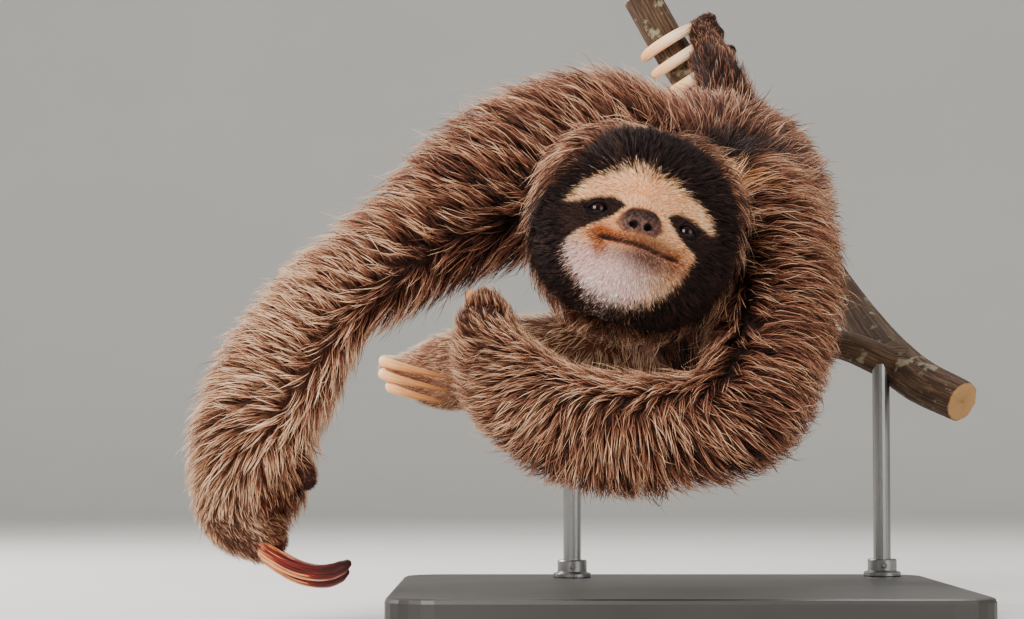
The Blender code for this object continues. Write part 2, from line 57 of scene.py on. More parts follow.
# Along each limb: x, y, z, outer radius, coat depth, hair length (mm), the hair's lie (x, y, z), how far
# the lie fans out to the two sides, and how light the coat is there.
PLACE, RADIUS, DEPTH, LENGTH, LIE, FAN, TONE = slice(0, 3), 3, 4, 5, slice(6, 9), 9, 10
LIMBS = {
    "trunk": [
        (-6, -108, 259, 56, 13, 28, -0.35, 0.3, 0.3, 1.2, 0.45),
        (-2, -70, 256, 73, 14, 30, -0.35, 0.3, 0.3, 1.2, 0.45),
        (18.8, 1.5, 257, 82.5, 15, 32, -0.1, 0.5, 0.2, 1.1, 0.5),
        (32, 62, 271, 72, 15, 32, 0, 0.5, 0.1, 1, 0.45),
        (31, 98, 275, 51, 14, 28, 0, 0.4, -0.3, 0.8, 0.4),
    ],
    "neck": [
        (-30, -180, 235, 44, 9, 24, 0, 0.6, 0.1, 1, 0.48),
        (-23.4, -147.8, 244.7, 47, 11, 27, 0, 0.6, 0.1, 1, 0.46),
        (-12, -115, 256, 48, 13, 28, 0, 0.6, 0.1, 1, 0.44),
    ],
    "tail": [
        (27, 125, 266, 20, 7, 15, 0, 0.8, -0.5, 0.3, 0.45),
        (22, 152, 255, 18, 6, 14, 0, 0.8, -0.5, 0.3, 0.45),
        (12, 190, 234, 12, 4, 12, -0.1, 0.8, -0.6, 0.3, 0.5),
    ],
    "arm_right": [
        (-30, -98, 279, 52, 13, 29, -0.75, 0, 0.65, 0, 0.42),
        (-57.8, -109.8, 280, 55, 13, 30, -0.75, 0, 0.65, 0, 0.42),
        (-112.1, -137, 260, 49, 13, 30, -0.85, 0, 0.55, 0, 0.44),
        (-153, -150, 231.5, 38, 12, 28, -0.9, 0, 0.45, 0, 0.58),
        (-182.9, -173, 208.6, 33, 10.5, 25, -0.88, 0, 0.48, 0, 0.74),
        (-209.1, -180, 189.6, 31, 10, 24, -0.85, 0, 0.5, 0, 0.86),
        (-234.9, -187.9, 150, 37, 11, 23, -0.88, 0, 0.35, 0.1, 0.92),
        (-252.6, -193.9, 112.1, 37, 10, 20, -0.35, 0, -0.25, 0.7, 0.92),
        (-254.1, -194.8, 89.8, 36, 9, 16, -0.1, 0, -0.65, 0.6, 0.95),
        (-258.4, -196.9, 72.7, 30, 6, 9.5, 0.3, 0, -0.75, 0.4, 1.05),
        (-252.5, -199.1, 60.5, 22.5, 3.5, 6.5, 0.75, 0, -0.55, 0.1, 1.02),
        (-246.5, -200.6, 55.5, 16.5, 2.5, 5.5, 0.85, 0, -0.45, 0, 0.95),
    ],
    "arm_left": [
        (20, -95, 245, 55, 13, 29, 0.8, 0, 0.3, 0, 0.48),
        (39.4, -116.9, 228.6, 50, 13, 29, 0.9, 0, 0, 0, 0.44),
        (45, -166, 180, 39, 12, 27, 0.9, 0, -0.25, 0, 0.42),
        (24.1, -224.8, 127.5, 35, 11, 25, 0.85, 0, -0.45, 0, 0.46),
        (-10.8, -226.2, 116.9, 34, 10, 24, 0.55, 0, -0.8, 0, 0.62),
        (-40.5, -226.1, 115.2, 36.5, 11, 23, 0.1, 0, -1, 0, 0.66),
        (-72.3, -218.4, 120.3, 35, 10.5, 20, -0.5, 0, -0.8, 0, 0.68),
        (-101.6, -207.3, 138.1, 32, 9, 16, -0.95, 0, -0.1, 0, 0.7),
        (-117.6, -192.6, 163.1, 23.5, 6, 11, -0.6, 0, 0.7, 0, 0.68),
        (-119.4, -190, 180, 18.5, 4.5, 8, -0.2, 0, 0.9, 0, 0.62),
        (-119.8, -188, 187, 12, 3, 5, -0.1, 0, 0.95, 0, 0.6),
    ],
    "leg_right": [
        (20, 80, 260, 56, 13, 27, 0.2, 0, -0.6, 0.8, 0.4),
        # From the thigh on, the tones are raised far above the rest of the coat: partly the foot's own paler
        # fur, partly painted light that lifts the head's shadow on the thigh and shin.
        (0.3, 86.5, 245, 50, 12, 25, -0.2, 0, -0.8, 0.6, 1),
        (-31, 88, 160, 34, 9, 19, -0.3, -0.2, -0.8, 0.3, 1.5),
        (-73.4, 49, 170.4, 30, 8, 17, -0.6, -0.3, -0.4, 0, 1.4),
        (-119.4, 40, 164.5, 27, 7, 13, -0.9, -0.2, -0.15, 0, 1.35),
        (-148, 35, 158.5, 25.5, 5, 8, -1, -0.2, -0.15, 0, 1.5),
        (-168, 29, 155.5, 17.5, 3.5, 5.5, -1, -0.2, -0.15, 0, 1.6),
        (-184, 22, 157, 10, 2.5, 4.5, -1, -0.2, -0.1, 0, 1.65),
    ],
    "leg_left": [
        (56, 80, 255, 54, 13, 27, 0.7, 0, 0.3, 0, 0.42),
        (68, 105, 246, 48, 12, 25, 0.7, 0.2, 0.1, 0, 0.42),
        (83, 187, 262, 33, 9, 19, 0.4, 0.5, 0.1, 0, 0.45),
        (66, 196, 305, 29, 8, 17, 0.3, 0.3, 0.6, 0, 0.42),
        (52, 197, 343, 26, 7, 14, 0, 0.2, 0.9, 0, 0.45),
        (45, 203, 369, 23, 6, 10, -0.1, 0.1, 1, 0, 0.45),
        (37, 211, 385, 18, 4.5, 7, -0.2, 0.1, 1, 0, 0.45),
    ],
    # The fold under the chest has the darkest tone in the coat: painted shade for the deep shadow under the
    # chin and between the arms.
    "chest_fold": [
        (-8, -110, 212, 24, 8, 30, 0.1, 0.2, -1, 0, 0.2),
        (6, -65, 183, 31, 8, 30, 0.1, 0.2, -1, 0, 0.15),
        (14, -10, 180, 30, 8, 28, 0, 0.2, -1, 0, 0.2),
    ],
    # The right sole's tones are high: partly its own pale fur, partly painted light that lifts the shade
    # between the claws.
    "sole_right": [
        (-136, 26, 146, 17, 2.5, 6, -1, -0.2, -0.1, 0, 1.6),
        (-152, 16, 143, 13.5, 2, 5, -1, -0.2, -0.1, 0, 1.7),
        (-168, 14, 147, 10.5, 1.5, 4, -1, -0.2, 0.1, 0, 1.7),
    ],
    "sole_left": [
        (41.5, 214, 381, 17, 3.5, 7, -0.3, 0.2, 0.9, 0, 0.5),
        (38, 223, 394, 14.5, 2.5, 5, -0.4, 0.2, 0.9, 0, 0.52),
        (31.5, 227.5, 408, 10.5, 2, 4, -0.4, 0.2, 0.9, 0, 0.55),
    ],
    "heel_pad": [
        (-231.5, -199, 101, 12.5, 2.5, 8, 0.6, 0, -0.7, 0, 0.7),
        (-221.5, -204, 87.5, 8.5, 1.5, 4.5, 0.8, -0.1, -0.5, 0, 0.45),
    ],
}
SPAN_ROWS = 8
SKIN_VOXEL = 0.0029
# The head's middle (m) and the ways it faces, then its sizes and those of its eyes and nose (mm).
HEAD_CENTRE = np.array([-0.0353, -0.2020, 0.2279])
HEAD_FORWARD = np.array([0.133, -0.961, 0.242])
HEAD_UP = np.array([0.225, 0.267, 0.937])
HEAD_RADIUS, HEAD_FRONT, HEAD_BACK, HEAD_SQUARE = 60.0, 45.0, 56.0, 2.4
HEAD_RINGS, HEAD_SIDES = 70, 110
EYE_HALF_SPACING, EYE_RADIUS, EYE_Y = 25.8, 6.2, -3.7
NOSE_X, NOSTRIL_Y, NOSTRIL_SIDE = -2.6, -15.9, 4.1


def unit(vectors):
    return vectors / np.maximum(np.linalg.norm(vectors, axis=-1, keepdims=True), 1e-9)


def ease(value, low, high):
    """0 below low, 1 above high, and a smooth step between."""
    t = np.clip((value - low) / (high - low), 0.0, 1.0)
    return t * t * (3.0 - 2.0 * t)


def bell(x, y, cx, cy, wide, tall):
    """A smooth mound of height 1 about a middle, falling off over wide and tall."""
    return np.exp(-0.5 * (((x - cx) / wide) ** 2 + ((y - cy) / tall) ** 2))


def fill_in(rows):
    """The rows of a limb with smooth rows added between them."""
    given = np.array(rows, float)
    ends = np.vstack([given[:1], given, given[-1:]])
    ends[0, :3] = 2 * given[0, :3] - given[1, :3]
    ends[-1, :3] = 2 * given[-1, :3] - given[-2, :3]
    t = np.linspace(0, 1, SPAN_ROWS, endpoint=False)[:, None]
    spans = []
    for i in range(len(given) - 1):
        a, b, c, d = ends[i:i + 4]
        spans.append(0.5 * (2 * b + (c - a) * t + (2 * a - 5 * b + 4 * c - d) * t ** 2
                            + (3 * b - a - 3 * c + d) * t ** 3))
    return np.vstack(spans + [given[-1:]])


def quads(rings, sides, closed=False):
    """Faces between each ring of vertices and the next, and from the last to the first if closed."""
    k = np.arange(sides)
    faces = []
    for i in range(rings if closed else rings - 1):
        a, b = i * sides + k, i * sides + (k + 1) % sides
        up = ((i + 1) % rings - i) * sides
        faces += np.stack([a, b, b + up, a + up], 1).tolist()
    return faces


def turned(faces, start=0):
    """The same faces seen from their other side, with their vertices counted from start."""
    return [[start + v for v in face[:1] + face[:0:-1]] for face in faces]


def tube(line, radii, sides, caps=(30, 60, 80), tall=1.0, up=(0.0, 0.0, 1.0)):
    """Vertices and faces of a closed tube with round ends, or flat ones where caps is empty."""
    line = np.asarray(line, float)
    along = unit(np.gradient(line, axis=0))
    stations = [(line[i], radii[i], along[i]) for i in range(len(line))]
    first, last = stations[0], stations[-1]
    for angle in caps:
        out, keep = math.sin(math.radians(angle)), math.cos(math.radians(angle))
        stations.insert(0, (first[0] - first[2] * first[1] * out, first[1] * keep, first[2]))
        stations.append((last[0] + last[2] * last[1] * out, last[1] * keep, last[2]))
    turns = np.linspace(0, 2 * math.pi, sides, endpoint=False)[:, None]
    side = np.cross(up, stations[0][2])
    if np.linalg.norm(side) < 0.1:
        side = np.cross((1.0, 0.0, 0.0), stations[0][2])
    rings = []
    for centre, size, tangent in stations:
        side = unit(side - tangent * side.dot(tangent))
        rise = np.cross(tangent, side)
        rings.append(centre + size * (np.cos(turns) * side + tall * np.sin(turns) * rise))
    faces = quads(len(rings), sides)
    faces.append(list(range(sides))[::-1])
    faces.append(list(range((len(rings) - 1) * sides, len(rings) * sides)))
    return np.vstack(rings), faces


def joined(shapes):
    """One list of vertices and one of faces from several."""
    verts, faces, start = [], [], 0
    for points, around in shapes:
        verts.append(points)
        faces += [[i + start for i in face] for face in around]
        start += len(points)
    return np.vstack(verts), faces


def smoothed(mesh, smooth=True):
    mesh.polygons.foreach_set("use_smooth", [smooth] * len(mesh.polygons))


def placed_in_scene(name, data):
    item = bpy.data.objects.new(name, data)
    bpy.context.scene.collection.objects.link(item)
    return item


def new_piece(name, verts, faces, smooth=True):
    mesh = bpy.data.meshes.new(name)
    mesh.from_pydata([tuple(v) for v in verts], [], faces)
    mesh.update()
    smoothed(mesh, smooth)
    return placed_in_scene(name, mesh)


def fuse(item, voxel, rounds):
    """Make one surface of the shapes in a piece, and soften it."""
    step = item.modifiers.new("fuse", "REMESH")
    step.mode = "VOXEL"
    step.voxel_size = voxel
    step = item.modifiers.new("soften", "SMOOTH")
    step.factor = 0.5
    step.iterations = rounds
    graph = bpy.context.evaluated_depsgraph_get()
    mesh = bpy.data.meshes.new_from_object(item.evaluated_get(graph))
    item.modifiers.clear()
    item.data = mesh
    smoothed(mesh)


head_forward = unit(HEAD_FORWARD)
head_up = unit(HEAD_UP - head_forward * HEAD_UP.dot(head_forward))
head_left = np.cross(head_up, head_forward)
head_axes = np.stack([head_left, head_up, head_forward])


def to_head(points):
    """Places in head axes, in millimetres: x to the sloth's left, y up, z forward."""
    return (np.asarray(points) - HEAD_CENTRE) @ head_axes.T * TO_MM


def from_head(local):
    """World places, in metres, from places in head axes."""
    return HEAD_CENTRE + (np.asarray(local) * MM) @ head_axes


def head_outside(rays):
    """Outside of the head's coat along rays from its middle: the solid's own shape."""
    x, y, z = rays.T
    deep = np.where(z > 0, HEAD_FRONT, HEAD_BACK)
    p = HEAD_SQUARE
    size = (np.abs(x / HEAD_RADIUS) ** p + np.abs(y / HEAD_RADIUS) ** p + np.abs(z / deep) ** p) ** (-1 / p)
    x, y, z = x * size, y * size, z * size
    lift = (11.5 * bell(x, y, 0.5 * NOSE_X, -16.0, 14.5, 12.5) + 2.2 * bell(x, y, NOSE_X, -10.5, 6.5, 5.5)
            + 2.0 * bell(x, y, 0, -34.0, 14.0, 7.0) + 2.0 * bell(x, y, 0, 15.0, 33.0, 11.0))
    for side in (-1, 1):
        lift += 2.0 * bell(x, y, side * 32.0, -27.0, 12.0, 13.0)
        lift -= 4.2 * bell(x, y, side * EYE_HALF_SPACING, EYE_Y, 10.0, 7.5)
    return np.stack([x, y, z + lift * np.clip(z / 20.0, 0, 1)], 1)


def mouth_y(x):
    """Height of the closed lips' line, which turns up at its ends."""
    return -25.4 + np.where(x < 0, 2.2, 0.6) * (np.abs(x) / 25.0) ** 2.4 - 0.05 * np.clip(x, -10.0, 14.0)


EYE_SHIFT = np.array([-1.0, -2.2, 0.0])
eye_places = {}
for name in ("eye_right", "eye_left"):
    low, high = (np.array(corner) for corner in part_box(name))
    eye_places[name] = 0.5 * (low + high) + EYE_SHIFT * MM @ head_axes


def from_eye(local):
    """Distance from the nearer eye's middle, across the face."""
    return np.hypot(np.abs(local[:, 0] - EYE_SHIFT[0]) - EYE_HALF_SPACING, local[:, 1] - EYE_Y - EYE_SHIFT[1])


def under_coat(outer, muzzle=0.0):
    """The head's skin under its outside. The coat thins towards the front, and most on the muzzle."""
    z = outer[:, 2]
    coat = 8.5 - 3.5 * ease(z, -20.0, 20.0) - (3.2 + 0.9 * muzzle) * ease(z, 8.0, 30.0)
    return outer - unit(outer) * coat[:, None]


def head_skin(rays, detailed):
    """The head's bare skin along rays: the coat's depth taken off, then nose, lips and lids if detailed."""
    outer = head_outside(rays)
    x, y, z = outer.T
    front = ease(z, 8.0, 30.0)
    local = under_coat(outer, bell(x, y, 0, -16.0, 17.0, 13.0))
    if not detailed:
        return local
    x, y = local[:, 0].copy(), local[:, 1].copy()
    rise = np.zeros(len(x))
    # Nose pad: a broad bare shield with two round nostrils.
    wide = np.interp(y, (-20.5, -18.5, -15.0, -9.5, -4.5), (6.0, 10.5, 12.8, 10.8, 6.0))
    rise += (1.3 * ease(1.12 - np.abs(x - NOSE_X) / wide, 0.0, 0.35)
             * ease(y, -21.0, -18.6) * (1 - ease(y, -6.5, -3.0)))
    for side in (-1, 1):
        off = x - NOSE_X - side * NOSTRIL_SIDE
        across = off / 2.0
        down = (y - NOSTRIL_Y - 0.25 * side * off) / 1.6
        rise -= 4.8 * np.exp(-(across ** 2 + down ** 2) ** 1.5)
        rise += 0.2 * np.exp(-((np.sqrt(across ** 2 + down ** 2) - 1.6) / 0.5) ** 2)
    rise -= 0.7 * np.exp(-((x - NOSE_X) / 0.6) ** 2) * ease(y, -25.5, -20.5) * (1 - ease(y, -19.0, -16.5))
    # Lips: a groove between two soft rolls, with a dimple at each corner.
    off = y - mouth_y(x)
    reach = 1 - ease(np.abs(x), 19.5, 25.0)
    rise -= 2.4 * np.exp(-(off / 1.15) ** 2) * reach
    rise += 0.8 * np.exp(-((off + 3.2) / 2.2) ** 2) * reach + 0.6 * np.exp(-((off - 2.8) / 2.0) ** 2) * reach
    for side in (-1, 1):
        rise -= 1.2 * bell(x, y, side * 26.0, -21.5, 2.4, 2.2)
        rise += 0.9 * bell(x, y, side * 30.5, -22.0, 2.6, 5.0)
    local[:, 2] += rise * front
    # Lids: skin drawn over each eyeball, open in a long almond that drops at its outer corner.
    for name, side in (("eye_right", -1), ("eye_left", 1)):
        ex, ey, ez = to_head(eye_places[name])
        dx, dy = x - ex, y - ey
        far = np.hypot(dx, dy)
        tilt = math.radians(-14.0) * side
        u = dx * math.cos(tilt) + dy * math.sin(tilt)
        v = -dx * math.sin(tilt) + dy * math.cos(tilt)
        lid = ez + np.sqrt(np.maximum(7.3 ** 2 - far ** 2, 0.0)) - 0.5 * ease(far, 3.0, 7.0)
        over = (1 - ease(far, 5.6, 8.4)) * front
        local[:, 2] = local[:, 2] * (1 - over) + np.maximum(local[:, 2], lid) * over
        top = 2.9 * (1 - np.clip(np.abs(u) / 6.1, 0, 1) ** 2.0)
        bottom = -3.3 * (1 - np.clip(np.abs(u) / 6.1, 0, 1) ** 2.2)
        inside = np.minimum(top - v, v - bottom)
        opened = ease(inside, -0.15, 0.55) * (np.abs(u) < 6.1) * front
        socket = ez + np.sqrt(np.maximum(5.0 ** 2 - far ** 2, 1.0))
        local[:, 2] = local[:, 2] * (1 - opened) + socket * opened
        crease = np.exp(-((v - top - 1.7) / 0.5) ** 2) * (np.abs(u) < 6.5)
        crease += 0.7 * np.exp(-((v - bottom + 1.6) / 0.5) ** 2) * (np.abs(u) < 6.0)
        local[:, 2] -= 0.55 * crease * (1 - ease(far, 6.5, 8.5)) * front
    return local


# How far the flesh of each finger reaches along its claw, and its outer radius there.
FINGERS = {
    "hand_right": ((-15.0, 8.8), (-2.0, 8.8), (12.0, 7.6)),
    "hand_left": ((-15.0, 7.2), (-9.0, 6.6), (-4.0, 4.8)),
    "foot_right": ((-15.0, 6.8), (-4.0, 6.6), (6.0, 5.0)),
    "foot_left": ((-15.0, 7.2), (-6.0, 7.2), (2.5, 6.2)),
}
# The claws' own curves (root, bend, tip, mm). Each rises from a finger of skin that follows its root.
CLAW_RADIUS = 4.4
CLAW_LINES = {
    "claw_hand_right_1": ((-257.0, -213.0, 56.5), (-218.0, -215.0, 24.5), (-198.4, -206.0, 39.6)),
    "claw_hand_right_2": ((-256.0, -201.0, 54.0), (-219.0, -203.0, 20.0), (-200.0, -197.0, 34.5)),
    "claw_hand_right_3": ((-255.0, -189.0, 55.5), (-219.0, -191.0, 23.0), (-201.0, -188.0, 38.0)),
    "claw_hand_left_1": ((-128.5, -188.0, 187.0), (-131.0, -157.0, 208.0), (-125.0, -132.0, 173.5)),
    "claw_hand_left_2": ((-120.0, -187.0, 188.0), (-121.0, -154.0, 206.0), (-114.5, -130.0, 170.0)),
    "claw_hand_left_3": ((-114.5, -187.0, 185.5), (-112.0, -156.0, 201.0), (-104.0, -132.0, 169.0)),
    "claw_foot_right_1": ((-170.0, 18.0, 161.0), (-215.0, -9.0, 166.0), (-145.0, -6.0, 150.5)),
    "claw_foot_right_2": ((-171.0, 16.0, 154.0), (-214.0, -12.0, 156.5), (-147.0, -7.0, 142.5)),
    "claw_foot_right_3": ((-168.0, 16.0, 147.0), (-206.0, -11.0, 147.5), (-149.0, -6.0, 135.0)),
}
# The branch's stem: x, y, z (mm) and its girth against STEM_RADIUS.
STEM_LINE = [(-10.8, 247.6, 439.4, 0.96), (20.5, 245.4, 385.1, 0.98), (82.0, 264.7, 301.0, 1.0),
             (135.2, 219.0, 212.5, 1.0), (167.3, 141.8, 160.0, 1.1), (201.0, 102.0, 137.0, 1.02)]
STEM_RADIUS = 14.5
stem_rows = fill_in(STEM_LINE)
# The left foot's claws each go round the stem at a place counted in the rows of STEM_LINE.
for number, place in (("1", 0.72), ("2", 0.91), ("3", 1.10)):
    low = int(place * SPAN_ROWS)
    centre = stem_rows[low, :3] + (stem_rows[low + 1, :3] - stem_rows[low, :3]) * (place * SPAN_ROWS - low)
    along = unit(stem_rows[low + 1, :3] - stem_rows[low, :3])
    near = unit(np.array([0.0, -1.0, 0.0]) + along * along[1])
    side = np.cross(near, along)
    points = []
    for i in range(6):
        turn = math.radians(-58 + 40 * i)
        wide = STEM_RADIUS + CLAW_RADIUS + 1.2 + 6.0 * max(0.0, 1 - i / 2)
        points.append(centre + near * wide * math.cos(turn) - side * wide * math.sin(turn))
    CLAW_LINES["claw_foot_left_" + number] = points

for name, points in CLAW_LINES.items():
    root, toward = np.array(points[0]), unit(np.array(points[1]) - np.array(points[0]))
    # The right foot's fingers get the lightest tone: partly their own pale fur, partly painted light that
    # lifts the shade between the claws.
    tint = 1.75 if "foot_right" in name else 0.95 if "hand_right" in name else 0.6
    hair = 4.0 if "left" in name else 5.5
    LIMBS["finger_" + name] = [(*(root + toward * reach), thick, 1.5, hair, *toward, 0.0, tint)
                               for reach, thick in FINGERS[name[5:-2]]]

limb_rows = {name: fill_in(rows) for name, rows in LIMBS.items()}
shapes = []
for rows in limb_rows.values():
    shapes.append(tube(rows[:, PLACE] * MM, (rows[:, RADIUS] - rows[:, DEPTH]) * MM, 32))
lat = np.linspace(0.02, math.pi - 0.02, HEAD_RINGS)
lon = np.linspace(0, 2 * math.pi, HEAD_SIDES, endpoint=False)
rays = np.array([(math.sin(a) * math.cos(b), math.sin(a) * math.sin(b), math.cos(a))
                 for a in lat for b in lon])
head_faces = turned(quads(HEAD_RINGS, HEAD_SIDES))
last = list(range((HEAD_RINGS - 1) * HEAD_SIDES, HEAD_RINGS * HEAD_SIDES))
head_faces += [list(range(HEAD_SIDES)), last[::-1]]
shapes.append((from_head(under_coat(head_outside(rays))), head_faces))
# A core joins the head to the neck.
core = np.array([(-0.0330, -0.1900, 0.2310), (-0.0240, -0.1500, 0.2440), (-0.0100, -0.1100, 0.2560)])
shapes.append(tube(core, (0.034, 0.036, 0.038), 32))
skin = new_piece("skin", *joined(shapes))
fuse(skin, SKIN_VOXEL, 8)

# The face is cut finer, and twice more round the eyes, nose and lips, and laid on the head's own shape.
shell = bmesh.new()
shell.from_mesh(skin.data)
for finer in range(3):
    shell.verts.ensure_lookup_table()
    local = to_head(np.array([v.co for v in shell.verts]))
    x, y, z = local.T
    near = (z > 2.0) & (np.hypot(x, y) < 62.0) & (np.linalg.norm(local, axis=1) > 36.0)
    if finer > 0:
        eye_reach, lip_reach, nose_reach = ((12.0, 5.0, 15.0), (9.0, 3.2, 12.0))[finer - 1]
        eyes_near = from_eye(local) < eye_reach
        lips_near = (np.abs(y - mouth_y(x)) < lip_reach) & (np.abs(x) < 30.0)
        nose_near = np.hypot(x - NOSE_X, y + 14.0) < nose_reach
        near &= (z > 20.0) & (eyes_near | lips_near | nose_near)
    picked = set(np.nonzero(near)[0].tolist())
    edges = [e for e in shell.edges if e.verts[0].index in picked and e.verts[1].index in picked]
    bmesh.ops.subdivide_edges(shell, edges=edges, cuts=1, use_grid_fill=True)
    shell.verts.index_update()
    local = to_head(np.array([v.co for v in shell.verts]))
    hold = ease(local[:, 2], -4.0, 10.0) * (np.linalg.norm(local, axis=1) > 36.0)
    hold *= np.hypot(local[:, 0], local[:, 1]) < 64.0
    moving = np.nonzero(hold > 0)[0]
    target = head_skin(local[moving], False)
    if finer == 2:
        target = head_skin(target, True)
    local[moving] += (target - local[moving]) * hold[moving, None]
    for vert, place in zip(shell.verts, from_head(local)):
        vert.co = place
bmesh.ops.triangulate(shell, faces=shell.faces)
shell.to_mesh(skin.data)
shell.free()
skin.data.update()
smoothed(skin.data)
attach(skin, "root")
FLESH = ["head", "neck", "trunk", "tail"]
for part in ("upper_arm", "forearm", "hand", "thigh", "shin", "foot"):
    FLESH += [part + "_right", part + "_left"]
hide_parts(*FLESH)

# ---- Markings ------------------------------------------------------------------------------------
# A brown-throated sloth has a pale face with a dark stripe through each eye, rust round the lips, a greyish
# chin, and a near-black ring of hair round the face, under a brown hood. One function says where each lies.

# In head axes, mm: the pale face's edge, the depth of the ring's back edge by angle from the sloth's left
# (degrees), and the eye stripe's middle and half width by distance from the middle of the face.
PALE_EDGE = [(41.5, -3), (38, 5), (29, 11), (19.5, 14.5), (5.5, 21), (-8, 24.5), (-24, 16), (-35, 10.5),
             (-41, 4), (-44.5, -3.5), (-44, -14), (-41.5, -27), (-38.5, -37), (-30, -45.5), (-17, -52.5),
             (0, -53.5), (14, -51), (21.5, -45), (28, -36.5), (31, -27), (37.5, -12)]
RING_BACK = [(0, 18), (17, 25), (32, 29), (46, 28), (65, 26), (95, 19), (121, 28), (144, 33), (160, 32),
             (173, 27), (187, 14), (198, -2), (208, -13), (246, -10), (270, -9), (297, -10), (330, 2),
             (360, 18)]
EYE_STRIPE = [(15.0, -3.4, 4.0), (20.0, -5.0, 7.2), (28.0, -7.6, 9.4), (36.0, -12.0, 10.6),
              (45.0, -18.5, 13.5), (54.0, -24.0, 18.0)]
# The short dark hair of the right palm lies along this line, from the palm's heel down.
PALM_LINE = [(-217.0, -210.0, 86.5), (-238.0, -215.0, 80.0), (-233.0, -207.0, 50.0)]
PALM_REACH = 11.5


def round_the_face(local):
    """Angle about the face's middle in degrees, and distance from it."""
    dx, dy = local[:, 0] + 2.0, local[:, 1] + 12.0
    return np.degrees(np.arctan2(dy, dx)) % 360.0, np.hypot(dx, dy)


def inside_face(local):
    """Millimetres inside the pale face's edge, and distance from the face's middle."""
    angle, far = round_the_face(local)
    edge = np.array(sorted(zip(*round_the_face(np.array([(a, b, 0.0) for a, b in PALE_EDGE])))))
    return np.interp(angle, edge[:, 0], edge[:, 1], period=360.0) - far, far


def beyond_ring(local):
    """Millimetres behind the dark ring's back edge, on the head."""
    angle = np.degrees(np.arctan2(local[:, 1], local[:, 0])) % 360.0
    backs = np.array(RING_BACK, float)
    return np.interp(angle, backs[:, 0], backs[:, 1]) - local[:, 2]


def near_palm(points):
    """1 along the short dark red-brown hair of the right palm, and 0 away from it."""
    near = np.zeros(len(points))
    for start, end in zip(np.array(PALM_LINE[:-1]), np.array(PALM_LINE[1:])):
        gap = points * TO_MM - start
        along = np.clip(gap @ (end - start) / ((end - start) @ (end - start)), 0, 1)
        far = np.linalg.norm(gap - along[:, None] * (end - start), axis=1)
        near = np.maximum(near, np.exp(-(far / PALM_REACH) ** 4))
    return near


